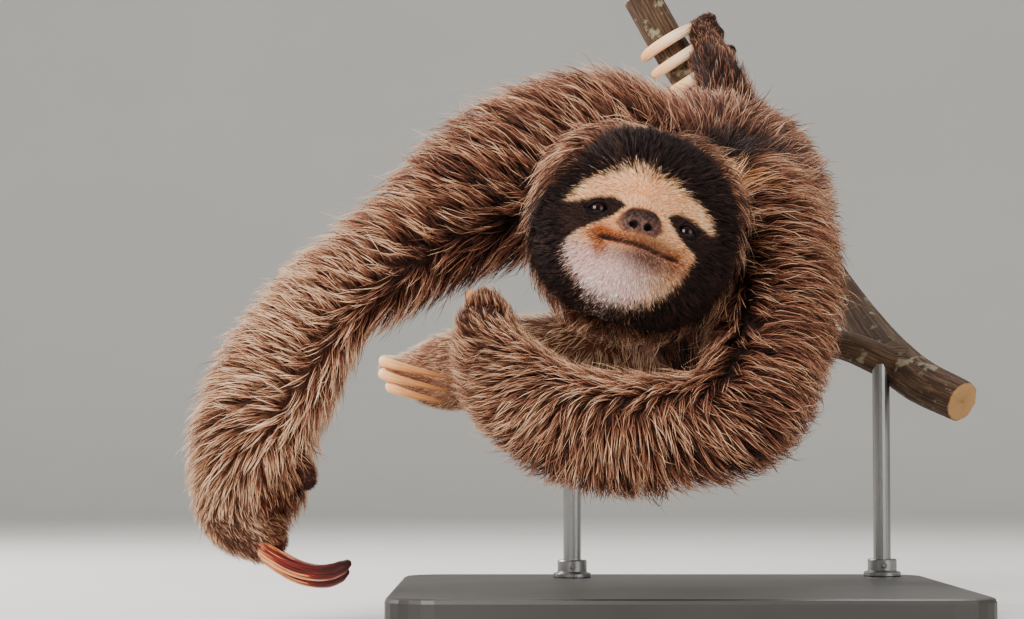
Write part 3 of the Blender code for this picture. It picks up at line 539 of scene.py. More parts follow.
def markings(points, on_head, ragged):
    """Weights of the cream, dark, rust, chin and bare nose markings; the dark weight also holds painted shade
    along and under the lips. ragged moves their edges, in mm.
    """
    local = to_head(points)
    x, y = local[:, 0], local[:, 1]
    front = (local[:, 2] > 0) * on_head
    # At the brow's top and the chin's edge pale and dark hairs run well into each other.
    mingle = 1.6 + 2.8 * ease(y, 8.0, 22.0) + 0.6 * ease(-y, 35.0, 50.0) + 0.6 * ease(-x, 30.0, 42.0)
    pale = ease(inside_face(local)[0] + ragged * mingle, -1.6, 1.8) * front
    stripe = np.zeros(len(x))
    line = np.array(EYE_STRIPE)
    for side in (-1, 1):
        middle = np.interp(side * x, line[:, 0], line[:, 1])
        half = np.interp(side * x, line[:, 0], line[:, 2]) * (side * x > 0)
        half *= np.sqrt(ease(side * x, 12.0, 17.0))
        there = ease(half - np.abs(y - middle) + 0.8 * ragged, -0.8, 1.4) * (side * x > 9)
        stripe = np.maximum(stripe, there)
    stripe *= front
    off = y - mouth_y(x)
    lips = np.exp(-((off - 2.4 + 0.5 * ragged) / 2.8) ** 2) * (1 - ease(np.abs(x), 20.0, 27.0)) * 0.85
    lips *= 1 - 0.45 * bell(x, y, 10.0, -22.0, 9.0, 5.0)
    corners = 0.85 * bell(x, y, -25.5, -21.0, 4.2, 4.4) + 0.7 * bell(x, y, -21.5, -29.0, 3.6, 4.0)
    corners += 0.55 * bell(x, y, 26.0, -22.5, 3.6, 4.5) + 0.3 * bell(x, y, 24.0, -31.0, 6.0, 4.0)
    under = 0.60 * bell(x, y, 8.0, -31.0, 12.0, 4.2) + 0.20 * bell(x, y, -33.0, -33.0, 9.0, 9.0)
    rust = np.clip(lips + corners + under + 0.18 * ragged * (corners > 0.05), 0, 1) * front
    chin = ease(-y + 1.5 * ragged + 0.10 * np.abs(x + 12.0), 24.0, 36.0) * front
    chin *= 1 - 0.85 * ease(x + 4.0 * ragged, 0.0, 22.0)
    wide = np.interp(y, (-21.5, -18.5, -15.0, -9.5, -3.5), (7.0, 11.0, 13.6, 11.6, 6.5))
    nose = (ease(1.24 - np.abs(x - NOSE_X + ragged) / wide, 0.0, 0.48)
            * ease(y + 0.8 * ragged, -22.4, -18.4) * (1 - ease(y + 1.6 * ragged, -7.5, -1.0)) * front)
    # Painted shade darkens the crease between the closed lips.
    lip_crease_shade = np.exp(-(off / 1.3) ** 2) * (1 - ease(np.abs(x), 21.0, 25.5)) * front
    # Painted shade: a band under the lower lip, a fainter one over the upper lip below the nose, and a spot
    # in one corner of the mouth.
    lip_shade_and_dark_hairs = (0.75 * bell(x, y, 5.5, -30.0, 15.0, 4.0) + 0.45 * bell(x, y, 8.0, -21.5, 11.0, 2.6)
            + 0.45 * bell(x, y, -25.5, -23.0, 2.6, 2.4)) * (1 + 0.4 * ragged) * front
    # Single dark hairs are mixed in below the lip, on the left of the chin and on the right cheek.
    lip_shade_and_dark_hairs += 0.30 * np.abs(ragged) * (bell(x, y, 5.0, -38.0, 9.0, 5.0) + bell(x, y, 20.0, -42.0, 7.0, 6.0)
                                     + bell(x, y, -38.0, -24.0, 4.0, 8.0)) * front
    ring = (1 - pale * (1 - stripe)) * (1 - ease(beyond_ring(local) + 1.5 * ragged, -1.5, 2.0)) * on_head
    dark = np.clip(np.maximum.reduce([ring, lip_crease_shade, lip_shade_and_dark_hairs]), 0, 1)
    # On the shoulders a straw patch lies under a dark one. The palm's short hair is dark red-brown.
    spot = points * TO_MM
    tall = spot[:, 2] - 0.05 * spot[:, 1]
    chest = ease(-spot[:, 1], 20.0, 50.0) * ~on_head
    off_straw = np.hypot((spot[:, 0] - 24.0) / 30.0, (tall - 286.0 + 0.28 * spot[:, 0]) / 8.5)
    off_soot = np.hypot((spot[:, 0] - 30.0) / 38.0, (tall - 297.0) / 14.0)
    straw = np.exp(-off_straw ** 4) * chest
    soot = np.exp(-off_soot ** 4) * chest
    palm = near_palm(points)
    pale = np.clip(pale + 0.85 * straw, 0, 1)
    dark = np.clip(dark + 0.96 * soot * (1 - straw) + (0.62 + 0.3 * ragged) * palm, 0, 1)
    rust = np.clip(rust + 0.45 * palm, 0, 1)
    return np.stack([pale, dark, rust * (1 - nose), chin * pale, nose], 1)


def write(mesh, name, kind, values):
    """Keep one number, three or four for each vertex, under a name that materials read."""
    layer = mesh.attributes.new(name, kind, "POINT")
    slot = {"FLOAT": "value", "FLOAT_VECTOR": "vector", "FLOAT_COLOR": "color"}[kind]
    layer.data.foreach_set(slot, np.ascontiguousarray(values, np.float32).ravel())


skin_points = np.zeros(len(skin.data.vertices) * 3)
skin.data.vertices.foreach_get("co", skin_points)
skin_points = skin_points.reshape(-1, 3)
skin_corners = np.zeros(len(skin.data.polygons) * 3, np.int64)
skin.data.polygons.foreach_get("vertices", skin_corners)
skin_corners = skin_corners.reshape(-1, 3)


BATCH = 40000


def placed(points):
    """For each point: the limb it belongs to (-1 for the head), its row there, and that row's numbers."""
    best = np.full(len(points), 1e9)
    which = np.zeros(len(points), int)
    row = np.zeros(len(points), int)
    numbers = np.zeros((len(points), 11))
    for index, rows in enumerate(limb_rows.values()):
        skin_radius = rows[:, RADIUS] - rows[:, DEPTH]
        for start in range(0, len(points), BATCH):
            part = points[start:start + BATCH] * TO_MM
            gap = np.linalg.norm(part[:, None, :] - rows[None, :, PLACE], axis=2) - skin_radius[None]
            nearest = gap.argmin(1)
            gap = gap[np.arange(len(part)), nearest]
            closer = gap < best[start:start + BATCH]
            spot = np.nonzero(closer)[0] + start
            best[spot] = gap[closer]
            which[spot] = index
            row[spot] = nearest[closer]
            numbers[spot] = rows[nearest[closer]]
    local = to_head(points)
    head_gap = np.linalg.norm(local, axis=1) - np.linalg.norm(head_skin(local, False), axis=1)
    which[(head_gap < best + 1.5) & (head_gap < 7.0)] = -1
    return which, row, numbers


skin_limb, _, skin_numbers = placed(skin_points)
skin_marks = markings(skin_points, skin_limb == -1, np.zeros(len(skin_points)))
write(skin.data, "markings", "FLOAT_COLOR", skin_marks[:, :4])
tone = np.where(skin_limb == -1, 0.45 + 0.3 * skin_marks[:, 0], skin_numbers[:, TONE])
# The nose is darkest along its top. Painted shade darkens its nostrils, and the crease of the lips along
# their line.
skin_x, skin_y = to_head(skin_points)[:, 0], to_head(skin_points)[:, 1]
shade = np.where(skin_limb == -1, 0.35, 0.12) * (1 - skin_marks[:, 4])
shade += skin_marks[:, 4] * np.interp(skin_y, (-20.0, -14.0, -8.0, -4.0), (0.30, 0.28, 0.14, 0.04))
for side in (-1, 1):
    far = np.hypot((skin_x - NOSE_X - side * NOSTRIL_SIDE) / 2.1, (skin_y - NOSTRIL_Y) / 1.8)
    shade -= 0.7 * np.exp(-far ** 4) * skin_marks[:, 4]
shade -= 0.45 * np.exp(-((skin_y - mouth_y(skin_x)) / 2.0) ** 2) * (np.abs(skin_x) < 30) * (skin_limb == -1)
strand = np.stack([np.full(len(tone), 0.12), shade, tone, skin_marks[:, 4]], 1)
write(skin.data, "strand", "FLOAT_COLOR", strand)


def colour(text):
    """An sRGB hex colour as linear numbers."""
    parts = [int(text[i:i + 2], 16) / 255 for i in (1, 3, 5)]
    return tuple(c / 12.92 if c <= 0.04045 else ((c + 0.055) / 1.055) ** 2.4 for c in parts) + (1.0,)


def node(tree, kind, inputs={}, **settings):
    """Add a shader node, set it up, and set or link its inputs."""
    item = tree.nodes.new("ShaderNode" + kind)
    for name, value in settings.items():
        setattr(item, name, value)
    for key, value in inputs.items():
        if isinstance(value, bpy.types.NodeSocket):
            tree.links.new(value, item.inputs[key])
        else:
            item.inputs[key].default_value = value
    return item


def place_on(tree):
    """Places on the piece itself, in metres."""
    return node(tree, "TexCoord").outputs["Object"]


def noise(tree, where, scale, detail=2.0, rough=0.5):
    """Soft noise from 0 to 1, with scale spots to each unit of where."""
    settings = {"Vector": where, "Scale": scale, "Detail": detail, "Roughness": rough}
    return node(tree, "TexNoise", settings).outputs[0]


def maths(tree, operation, *values):
    return node(tree, "Math", dict(enumerate(values)), operation=operation).outputs[0]


def ramp(tree, source, *stops):
    """Colours read off a row of stops, each a place from 0 to 1 and a hex colour."""
    item = node(tree, "ValToRGB", {0: source})
    marks = item.color_ramp.elements
    for place, text in stops[1:-1]:
        marks.new(place).color = colour(text)
    for mark, (place, text) in ((marks[0], stops[0]), (marks[-1], stops[-1])):
        mark.position = place
        mark.color = colour(text)
    return item.outputs[0]


def blend(tree, share, first, second):
    """The first colour, turning into the second as share goes from 0 to 1."""
    return node(tree, "Mix", {0: share, 6: first, 7: second}, data_type="RGBA").outputs[2]


def bump(tree, height, strength, distance):
    return node(tree, "Bump", {"Height": height, "Strength": strength, "Distance": distance}).outputs[0]


def new_material(name):
    made = bpy.data.materials.new(name)
    made.use_nodes = True
    made.node_tree.nodes.clear()
    return made, made.node_tree


def finish_material(tree, tint, roughness, **others):
    """End a material in its surface. others name the shader's sockets, with _ for a space."""
    inputs = {"Base Color": tint, "Roughness": roughness}
    inputs.update({name.replace("_", " "): value for name, value in others.items()})
    surface = node(tree, "BsdfPrincipled", inputs)
    node(tree, "OutputMaterial", {"Surface": surface.outputs[0]})


def coat_colour(tree):
    """Colour of the coat and the skin under it, from the markings and how far along its hair a point is."""
    marks = node(tree, "Attribute", attribute_name="markings")
    strand = node(tree, "Attribute", attribute_name="strand")
    pale, dark, rust = node(tree, "SeparateColor", {0: marks.outputs["Color"]}).outputs
    along, shade, tone = node(tree, "SeparateColor", {0: strand.outputs["Color"]}).outputs
    where = place_on(tree)
    # Damp and dust leave patches about 30 mm across, and single hairs vary.
    patches = noise(tree, where, 34.0, 3.0)
    lift = maths(tree, "MULTIPLY_ADD", shade, 0.62, -0.31)
    for source, weight in ((along, 0.62), (patches, 0.35), (tone, 0.45)):
        lift = maths(tree, "MULTIPLY_ADD", source, weight, lift)
    lift = maths(tree, "ADD", lift, -0.16)
    brown = ramp(tree, lift, (0.0, "#120906"), (0.22, "#2c160f"), (0.42, "#502c1d"), (0.62, "#804d39"),
                 (0.8, "#bb8966"), (1.0, "#f0caa6"))
    cream = ramp(tree, lift, (0.0, "#6a3216"), (0.3, "#b8703e"), (0.6, "#fab67e"), (1.0, "#ffe6bc"))
    grey = ramp(tree, lift, (0.0, "#84524c"), (0.3, "#d89c92"), (0.6, "#ffd4c8"), (1.0, "#fff6f0"))
    black = ramp(tree, lift, (0.0, "#050202"), (0.45, "#120908"), (0.7, "#261513"), (1.0, "#4a2f26"))
    rusty = ramp(tree, lift, (0.0, "#341006"), (0.35, "#742e10"), (0.65, "#b05a28"), (1.0, "#e28f54"))
    leather = noise(tree, where, 620.0, 5.0, 0.7)
    bare = ramp(tree, maths(tree, "ADD", leather, shade), (0.58, "#130b0a"), (0.72, "#33201c"),
                (0.88, "#5a3d35"), (1.0, "#8a6255"))
    mixed = blend(tree, pale, brown, blend(tree, marks.outputs["Alpha"], cream, grey))
    mixed = blend(tree, rust, mixed, rusty)
    mixed = blend(tree, dark, mixed, black)
    return blend(tree, strand.outputs["Alpha"], mixed, bare), where


# Tanned hide and bare nose leather: matt, pebbled at 0.9 mm.
hide, tree = new_material("tanned_hide")
tint, where = coat_colour(tree)
pebbles = node(tree, "TexVoronoi", {"Vector": where, "Scale": 1100.0}).outputs["Distance"]
finish_material(tree, tint, 0.7, Normal=bump(tree, pebbles, 0.35, 0.0004), Specular_IOR_Level=0.15)
skin.data.materials.clear()
skin.data.materials.append(hide)

# ---- Eyes ----------------------------------------------------------------------------------------
# Small round brown eyes with almost no white showing. Each is glass: a dark iris behind a clear wet front.
# The balls sit in the sockets, under the lids, and look a little down and out at whoever stands before them.

GAZE = unit(head_forward + np.array([0.02, -0.25, -0.10]))
glass, tree = new_material("eye_glass")
from_pupil = node(tree, "Attribute", attribute_name="from_pupil").outputs["Fac"]
spread = maths(tree, "MULTIPLY_ADD", noise(tree, place_on(tree), 1500.0), 0.10, from_pupil)
iris = ramp(tree, spread, (0.24, "#020101"), (0.31, "#140604"), (0.46, "#260c08"), (0.62, "#0b0403"),
            (0.90, "#040202"))
finish_material(tree, iris, 0.06, Specular_IOR_Level=0.20)
EYE_SIDES = 40
for name, place in eye_places.items():
    side = unit(np.cross(GAZE, (0.0, 0.0, 1.0)))
    rise = np.cross(side, GAZE)
    turns = np.linspace(0, 2 * math.pi, EYE_SIDES, endpoint=False)
    tilts = np.linspace(0, math.pi, 30)[1:-1]
    ball = [place + GAZE * EYE_RADIUS * MM]
    for tilt in tilts:
        for turn in turns:
            out = math.sin(tilt) * (math.cos(turn) * side + math.sin(turn) * rise) + math.cos(tilt) * GAZE
            ball.append(place + out * EYE_RADIUS * MM)
    ball.append(place - GAZE * EYE_RADIUS * MM)
    last = len(ball) - 1
    faces = [[0, 1 + k, 1 + (k + 1) % EYE_SIDES] for k in range(EYE_SIDES)]
    faces += turned(quads(len(tilts), EYE_SIDES), 1)
    faces += [[last, last - EYE_SIDES + (k + 1) % EYE_SIDES, last - EYE_SIDES + k] for k in range(EYE_SIDES)]
    eye = new_piece("glass_" + name, np.array(ball), faces)
    write(eye.data, "from_pupil", "FLOAT", np.concatenate([[0.0], np.repeat(tilts, EYE_SIDES), [math.pi]]))
    eye.data.materials.append(glass)
    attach(eye, "root")
    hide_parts(name)

# ---- Claws ---------------------------------------------------------------------------------------
# Three long hooked claws on each hand and foot, of layered horn, red-brown on the hands and paler, like
# straw, on the feet. Each is a little taller than wide, tapers to its tip and follows its solid's own curve.

HAND_HORN = ((0.0, "#ffbc88"), (0.59, "#e6945a"), (0.69, "#6c1a10"), (0.88, "#440c08"), (1.0, "#220604"))
FOOT_HORN = ((0.0, "#a0642e"), (0.22, "#ffe0bc"), (0.46, "#ffc486"), (0.70, "#e69e60"), (1.0, "#a0602c"))
horns = {}
for name, stops in (("hand", HAND_HORN), ("foot", FOOT_HORN)):
    # Layered horn: fibres run the claw's length under a worn semi-gloss.
    horns[name], tree = new_material("layered_horn_" + name)
    way = node(tree, "Attribute", attribute_name="claw_way").outputs["Vector"]
    along, _, aside = node(tree, "SeparateXYZ", {0: way}).outputs
    drawn = node(tree, "Mapping", {"Vector": way, "Scale": (3.0, 9.0, 9.0)}).outputs[0]
    fibres = noise(tree, drawn, 1.6, 4.0)
    band = maths(tree, "MULTIPLY_ADD", fibres, 0.9, -0.45)
    # Hand claws are red-brown along the back and pale along the sides. Foot claws are even.
    if name == "hand":
        band = maths(tree, "MULTIPLY_ADD", along, 0.42, band)
        band = maths(tree, "MULTIPLY_ADD", aside, 0.75, band)
        band = maths(tree, "ADD", band, 0.30)
    else:
        band = maths(tree, "ADD", along, band)
    finish_material(tree, ramp(tree, band, *stops), 0.42, Normal=bump(tree, fibres, 0.35, 0.0006),
                    Specular_IOR_Level=0.18, IOR=1.55)

CLAW_RINGS, CLAW_SIDES = 30, 18
CLAW_GIRTH = {"hand_right": 1.16, "hand_left": 0.68, "foot_right": 0.72, "foot_left": 0.85}
for name, points in CLAW_LINES.items():
    points = np.array(points)
    t = np.linspace(0, 1, CLAW_RINGS)[:, None]
    if len(points) == 3:
        line = points[0] * (1 - t) ** 2 + points[1] * 2 * t * (1 - t) + points[2] * t * t
    else:
        filled = fill_in(points)
        spots = np.linspace(0, len(filled) - 1, CLAW_RINGS)
        line = np.stack([np.interp(spots, np.arange(len(filled)), filled[:, i]) for i in range(3)], 1)
    thick = CLAW_RADIUS * CLAW_GIRTH[name[5:-2]]
    blunt = 0.35 if "hand_right" in name else 0.0
    radii = thick * np.interp(t[:, 0], (0, .2, .4, .6, .8, .93, 1.0),
                              (0.84, 0.96, 1.0, 0.92, 0.68 + 0.6 * blunt, 0.42 + blunt, 0.16 + blunt))
    half_way = line[CLAW_RINGS // 2]
    up = tuple(np.cross(half_way - line[0], line[-1] - 2 * half_way + line[0]))
    verts, faces = tube(line * MM, radii * MM, CLAW_SIDES, caps=(35, 70), tall=1.12, up=up)
    claw = new_piece("horn_" + name, verts, faces)
    # Each vertex knows how far along the claw it is and which way it faces. Two rings close each end.
    ways = []
    for i in range(-2, CLAW_RINGS + 2):
        for turn in np.arange(CLAW_SIDES) * 2 * math.pi / CLAW_SIDES:
            ways.append((np.clip(i / (CLAW_RINGS - 1), 0, 1), 0.5 * math.cos(turn), 0.5 * math.sin(turn)))
    write(claw.data, "claw_way", "FLOAT_VECTOR", ways)
    claw.data.materials.append(horns["foot" if "foot" in name else "hand"])
    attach(claw, "root")
    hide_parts(name)

# ---- Coat ----------------------------------------------------------------------------------------
# Coarse hair, about 30 mm long on the trunk and a few millimetres on the face, fingers and toes. It is made
# as solid locks: closed three-sided spikes, gathered into tufts that follow guide hairs laid over the skin.

shell = BVHTree.FromPolygons([tuple(p) for p in skin_points], skin_corners.tolist())
tri_points = skin_points[skin_corners]
tri_cross = np.cross(tri_points[:, 1] - tri_points[:, 0], tri_points[:, 2] - tri_points[:, 0])
tri_area = 0.5 * np.linalg.norm(tri_cross, axis=1) * TO_MM ** 2
skin_normal = np.zeros_like(skin_points)
for i in range(3):
    np.add.at(skin_normal, skin_corners[:, i], tri_cross)
skin_normal = unit(skin_normal)
tri_middle = tri_points.mean(1)
tri_limb, tri_row, tri_numbers = placed(tri_middle)
limb_names = list(limb_rows)


def head_lie(local):
    """On the head: the hair's lie, length, coat depth and half width (mm), and the share of hood and ring."""
    x, y, z = local.T
    inside, far = inside_face(local)
    star = np.stack([x + 3.5, y - 8.5, np.zeros(len(x))], 1)
    nose = np.stack([x + 2.0, y + 13.0, np.zeros(len(x))], 1)
    upper = ease(y, -2.0, 9.0)[:, None]
    lie = unit(unit(star) * upper + unit(nose) * (1 - upper) + np.array([0.0, 0.0, -0.25]))
    back = beyond_ring(local)
    hood = ease(back, -2.0, 4.0)[:, None]
    radial = unit(np.stack([x, y, np.zeros(len(x))], 1) + 1e-6)
    round_left = np.stack([-radial[:, 1], radial[:, 0], np.zeros(len(x))], 1)
    near_ring = (1 - ease(back, 6.0, 20.0))[:, None]
    to_back = np.array([0.0, 0.0, -1.0])
    left = unit(round_left + 0.15 * to_back)
    swept_back = 0.5 * radial + 0.9 * to_back + np.array([0, 0.4, 0])
    right = unit(near_ring * (-0.8 * round_left + 0.6 * radial) + (1 - near_ring) * swept_back)
    low = ease(-y, 35.0, 50.0)[:, None]
    hood_lie = np.where((x < 4)[:, None], left, right) * (1 - low) + (radial + 0.5 * to_back) * low
    lie = unit(lie * (1 - hood) + hood_lie * hood)
    hood = hood[:, 0]
    ring = ease(-inside, -2.0, 6.0) * (1 - hood)
    at_eye = 1 - ease(from_eye(local), 7.0, 12.0)
    face_long = 1.9 + 3.0 * ease(far, 14.0, 40.0) - 0.7 * at_eye
    at_lip = np.exp(-((y - mouth_y(x)) / 4.0) ** 2) * (np.abs(x) < 30)
    face_long = face_long * (1 - 0.45 * at_lip) * (1 + 0.7 * ease(y, 10.0, 26.0))
    face_half = 0.20 + 0.03 * ease(far, 14, 40)
    sizes_there = ((face_long, 8.0, 24.0), (1.6, 4.5, 8.5), (face_half, 0.36, 0.5))
    long, depth, half = ((on_face * (1 - ring) + in_ring * ring) * (1 - hood) + in_hood * hood
                         for on_face, in_ring, in_hood in sizes_there)
    return lie @ head_axes, long, depth, half, hood, ring


limb_axes = {name: unit(np.gradient(rows[:, PLACE], axis=0)) for name, rows in limb_rows.items()}


def lie_at(points, normals, limb, row, numbers):
    """World direction of the hair's lie at points on the skin."""
    across = (points[:, 0] * TO_MM - numbers[:, 0]) / np.maximum(numbers[:, RADIUS], 1.0)
    lie = numbers[:, LIE].copy()
    lie[:, 0] += numbers[:, FAN] * across
    head = limb == -1
    if head.any():
        lie[head] = head_lie(to_head(points[head]))[0]
    axes = np.zeros((len(points), 3))
    for index, name in enumerate(limb_rows):
        axes[limb == index] = limb_axes[name][row[limb == index]]
    # Where the lie meets the skin head on, the hair parts: it hangs down and runs on along the limb.
    facing = (unit(lie) * normals).sum(1)
    parting = ease(-facing, 0.35, 0.9) * ~head
    lie = unit(lie) * (1 - parting)[:, None] + (0.7 * axes + np.array([0.0, 0.0, -0.5])) * parting[:, None]
    return lie


def sizes(points, limb, numbers):
    """Each hair's length, coat depth and half width (mm), and how far it gathers to its tuft."""
    long, depth = numbers[:, LENGTH].copy(), numbers[:, DEPTH].copy()
    half = 0.13 + 0.0102 * long
    gather = np.full(len(points), 0.62)
    head = limb == -1
    if head.any():
        _, h_long, h_depth, h_half, hood, ring = head_lie(to_head(points[head]))
        long[head], depth[head], half[head] = h_long, h_depth, h_half
        gather[head] = 0.22 + 0.25 * ring + 0.35 * hood
    palm = near_palm(points)
    return long * (1 - 0.45 * palm), depth * (1 - 0.5 * palm), half, gather


def scatter(chosen, count, seed):
    """Roots spread over the chosen skin faces, by area: place, face and normal."""
    dice = np.random.default_rng(seed)
    share = tri_area * chosen / np.where(tri_limb == -1, 1.0, 0.25 + tri_numbers[:, LENGTH] / 24.0)
    picked = np.sort(dice.choice(len(share), count, p=share / share.sum()))
    a, b = dice.random(count), dice.random(count)
    over = a + b > 1
    a[over], b[over] = 1 - a[over], 1 - b[over]
    corner = skin_corners[picked]
    weight = np.stack([1 - a - b, a, b], 1)[:, :, None]
    return (skin_points[corner] * weight).sum(1), picked, unit((skin_normal[corner] * weight).sum(1))


GUIDE_STEPS = 6
# Metres that a guide hair moves back for each millimetre that it stands above the coat.
PULLED_BACK = 0.0007


def guide_paths(roots, normals, face, lift, seed):
    """Guide hairs: each sets off from the skin, bends to the coat's lie and stays within the coat's depth."""
    dice = np.random.default_rng(seed)
    limb, row, numbers = tri_limb[face], tri_row[face], tri_numbers[face]
    long, depth, _, _ = sizes(roots, limb, numbers)
    lie = lie_at(roots, normals, limb, row, numbers)
    wander = dice.normal(0, 1, (len(roots), 3))
    lie = unit(lie) + 0.16 * wander
    path = [roots.copy()]
    spot, normal = roots.copy(), normals.copy()
    for step in range(GUIDE_STEPS):
        done = (step + 1) / GUIDE_STEPS
        facing = (lie * normal).sum(1, keepdims=True)
        flat = lie - normal * facing
        size = np.linalg.norm(flat, axis=1, keepdims=True)
        flat = flat / np.maximum(size, 0.4)
        rise = (lift * (1.0 - 0.85 * done))[:, None] + 0.42 * np.maximum(facing, 0) * (1 - 0.5 * done)
        way = unit(flat + normal * rise + np.array([0, 0, -0.10]) * done)
        spot = spot + way * (long / GUIDE_STEPS * MM)[:, None]
        for i in range(len(spot)):
            near, face_normal, _, _ = shell.find_nearest(Vector(spot[i]))
            near, face_normal = np.array(near), np.array(face_normal)
            high = float((spot[i] - near).dot(face_normal)) * TO_MM
            low = depth[i] * (0.25 + 0.35 * done)
            top = depth[i] * (0.75 + 0.40 * done)
            if high < low:
                spot[i] = near + face_normal * low * MM
            elif high > top:
                spot[i] = spot[i] - face_normal * (high - top) * PULLED_BACK
            normal[i] = face_normal
        path.append(spot.copy())
    return np.stack(path, 1)


def along_path(paths, places):
    """Points at places from 0 to 1 along each path."""
    spots = np.clip(places, 0, 1) * GUIDE_STEPS
    low = np.minimum(spots.astype(int), GUIDE_STEPS - 1)
    part = (spots - low)[..., None]
    pick = np.arange(len(paths))[:, None]
    return paths[pick, low] * (1 - part) + paths[pick, low + 1] * part


def unwrap(points, limb, row):
    """Places on a flat unwrap of the skin: round each limb and along it, or out from the nose on the head."""
    flat = np.zeros((len(points), 2))
    head = limb == -1
    local = unit(to_head(points[head]))
    reach = np.arccos(np.clip(local[:, 2], -1, 1)) / math.pi
    angle = np.arctan2(local[:, 1], local[:, 0])
    flat[head] = np.stack([0.5 + 0.48 * reach * np.cos(angle), 0.5 + 0.48 * reach * np.sin(angle)], 1)
    for index, (name, rows) in enumerate(limb_rows.items()):
        mine = limb == index
        if mine.any():
            spot = row[mine]
            axis = limb_axes[name][spot]
            up = (0.02, 0.1, 1.0) if name in ("trunk", "neck", "tail") else (0.1, 1.0, 0.05)
            aside = unit(np.cross(axis, up))
            above = np.cross(aside, axis)
            offset = points[mine] * TO_MM - rows[spot, PLACE]
            around = np.arctan2((offset * above).sum(1), (offset * aside).sum(1)) / (2 * math.pi) + 0.5
            onward = (spot + np.clip((offset * axis).sum(1) / 6.0, -0.5, 0.5)) / len(rows)
            flat[mine] = np.stack([0.02 + 0.95 * around, 0.02 + 0.95 * np.clip(onward, 0, 1)], 1)
    return flat


coat_hair, tree = new_material("sloth_hair")
# Coarse grooved hair: matt along its length, with a faint sheen where it turns away.
finish_material(tree, coat_colour(tree)[0], 0.62, Specular_IOR_Level=0.16)


def spikes(path, normal, half):
    """A closed three-sided spike along each path, of the half widths given: vertices, and faces on them."""
    count, parts = len(path), path.shape[1] - 1
    way = unit(path[:, -1] - path[:, 0])
    side = unit(np.cross(normal, way))
    top = np.cross(way, side)
    taper = np.interp(np.arange(parts) / parts, (0, 0.34, 0.67, 1), (0.8, 1.0, 0.7, 0.0))
    corners = np.array([(-0.87, -0.3), (0.87, -0.3), (0.0, 0.6)])[None, None]
    ring = side[:, None, None, :] * corners[..., :1] + top[:, None, None, :] * corners[..., 1:]
    ring = ring * (half[:, None] * taper[None, :] * MM)[:, :, None, None]
    around = (path[:, :parts, None, :] + ring).reshape(count, parts * 3, 3)
    verts = np.concatenate([around, path[:, -1:, :]], 1)
    faces = [(0, 2, 1)]
    tip = 3 * (parts - 1)
    for j in range(0, tip, 3):
        for a, b in ((j, j + 1), (j + 1, j + 2), (j + 2, j)):
            faces += [(a, b, b + 3), (a, b + 3, a + 3)]
    faces += [(tip, tip + 1, tip + 3), (tip + 1, tip + 2, tip + 3), (tip + 2, tip, tip + 3)]
    faces = np.arange(count)[:, None, None] * verts.shape[1] + np.array(faces)[None]
    return verts, faces.reshape(-1, 3)


def hair_piece(name, verts, faces, strands, marks, uvs):
    mesh = bpy.data.meshes.new(name)
    mesh.vertices.add(len(verts))
    mesh.vertices.foreach_set("co", verts.astype(np.float32).ravel())
    mesh.loops.add(len(faces) * 3)
    mesh.loops.foreach_set("vertex_index", faces.astype(np.int32).ravel())
    mesh.polygons.add(len(faces))
    mesh.polygons.foreach_set("loop_start", np.arange(0, len(faces) * 3, 3, dtype=np.int32))
    mesh.update(calc_edges=True)
    smoothed(mesh)
    write(mesh, "strand", "FLOAT_COLOR", strands)
    write(mesh, "markings", "FLOAT_COLOR", marks)
    mesh.uv_layers.new(name="OFBake").data.foreach_set("uv", uvs.astype(np.float32).ravel())
    mesh.materials.append(coat_hair)
    return placed_in_scene(name, mesh)


# Shares of the hairs that are fine or stray, how deep a root is set (m), and a tuft's width on the unwrap.
FINE_SHARE, STRAY_SHARE = 0.45, 0.07
ROOT_DEPTH, UNWRAP_PATCH = 0.0003, 0.003


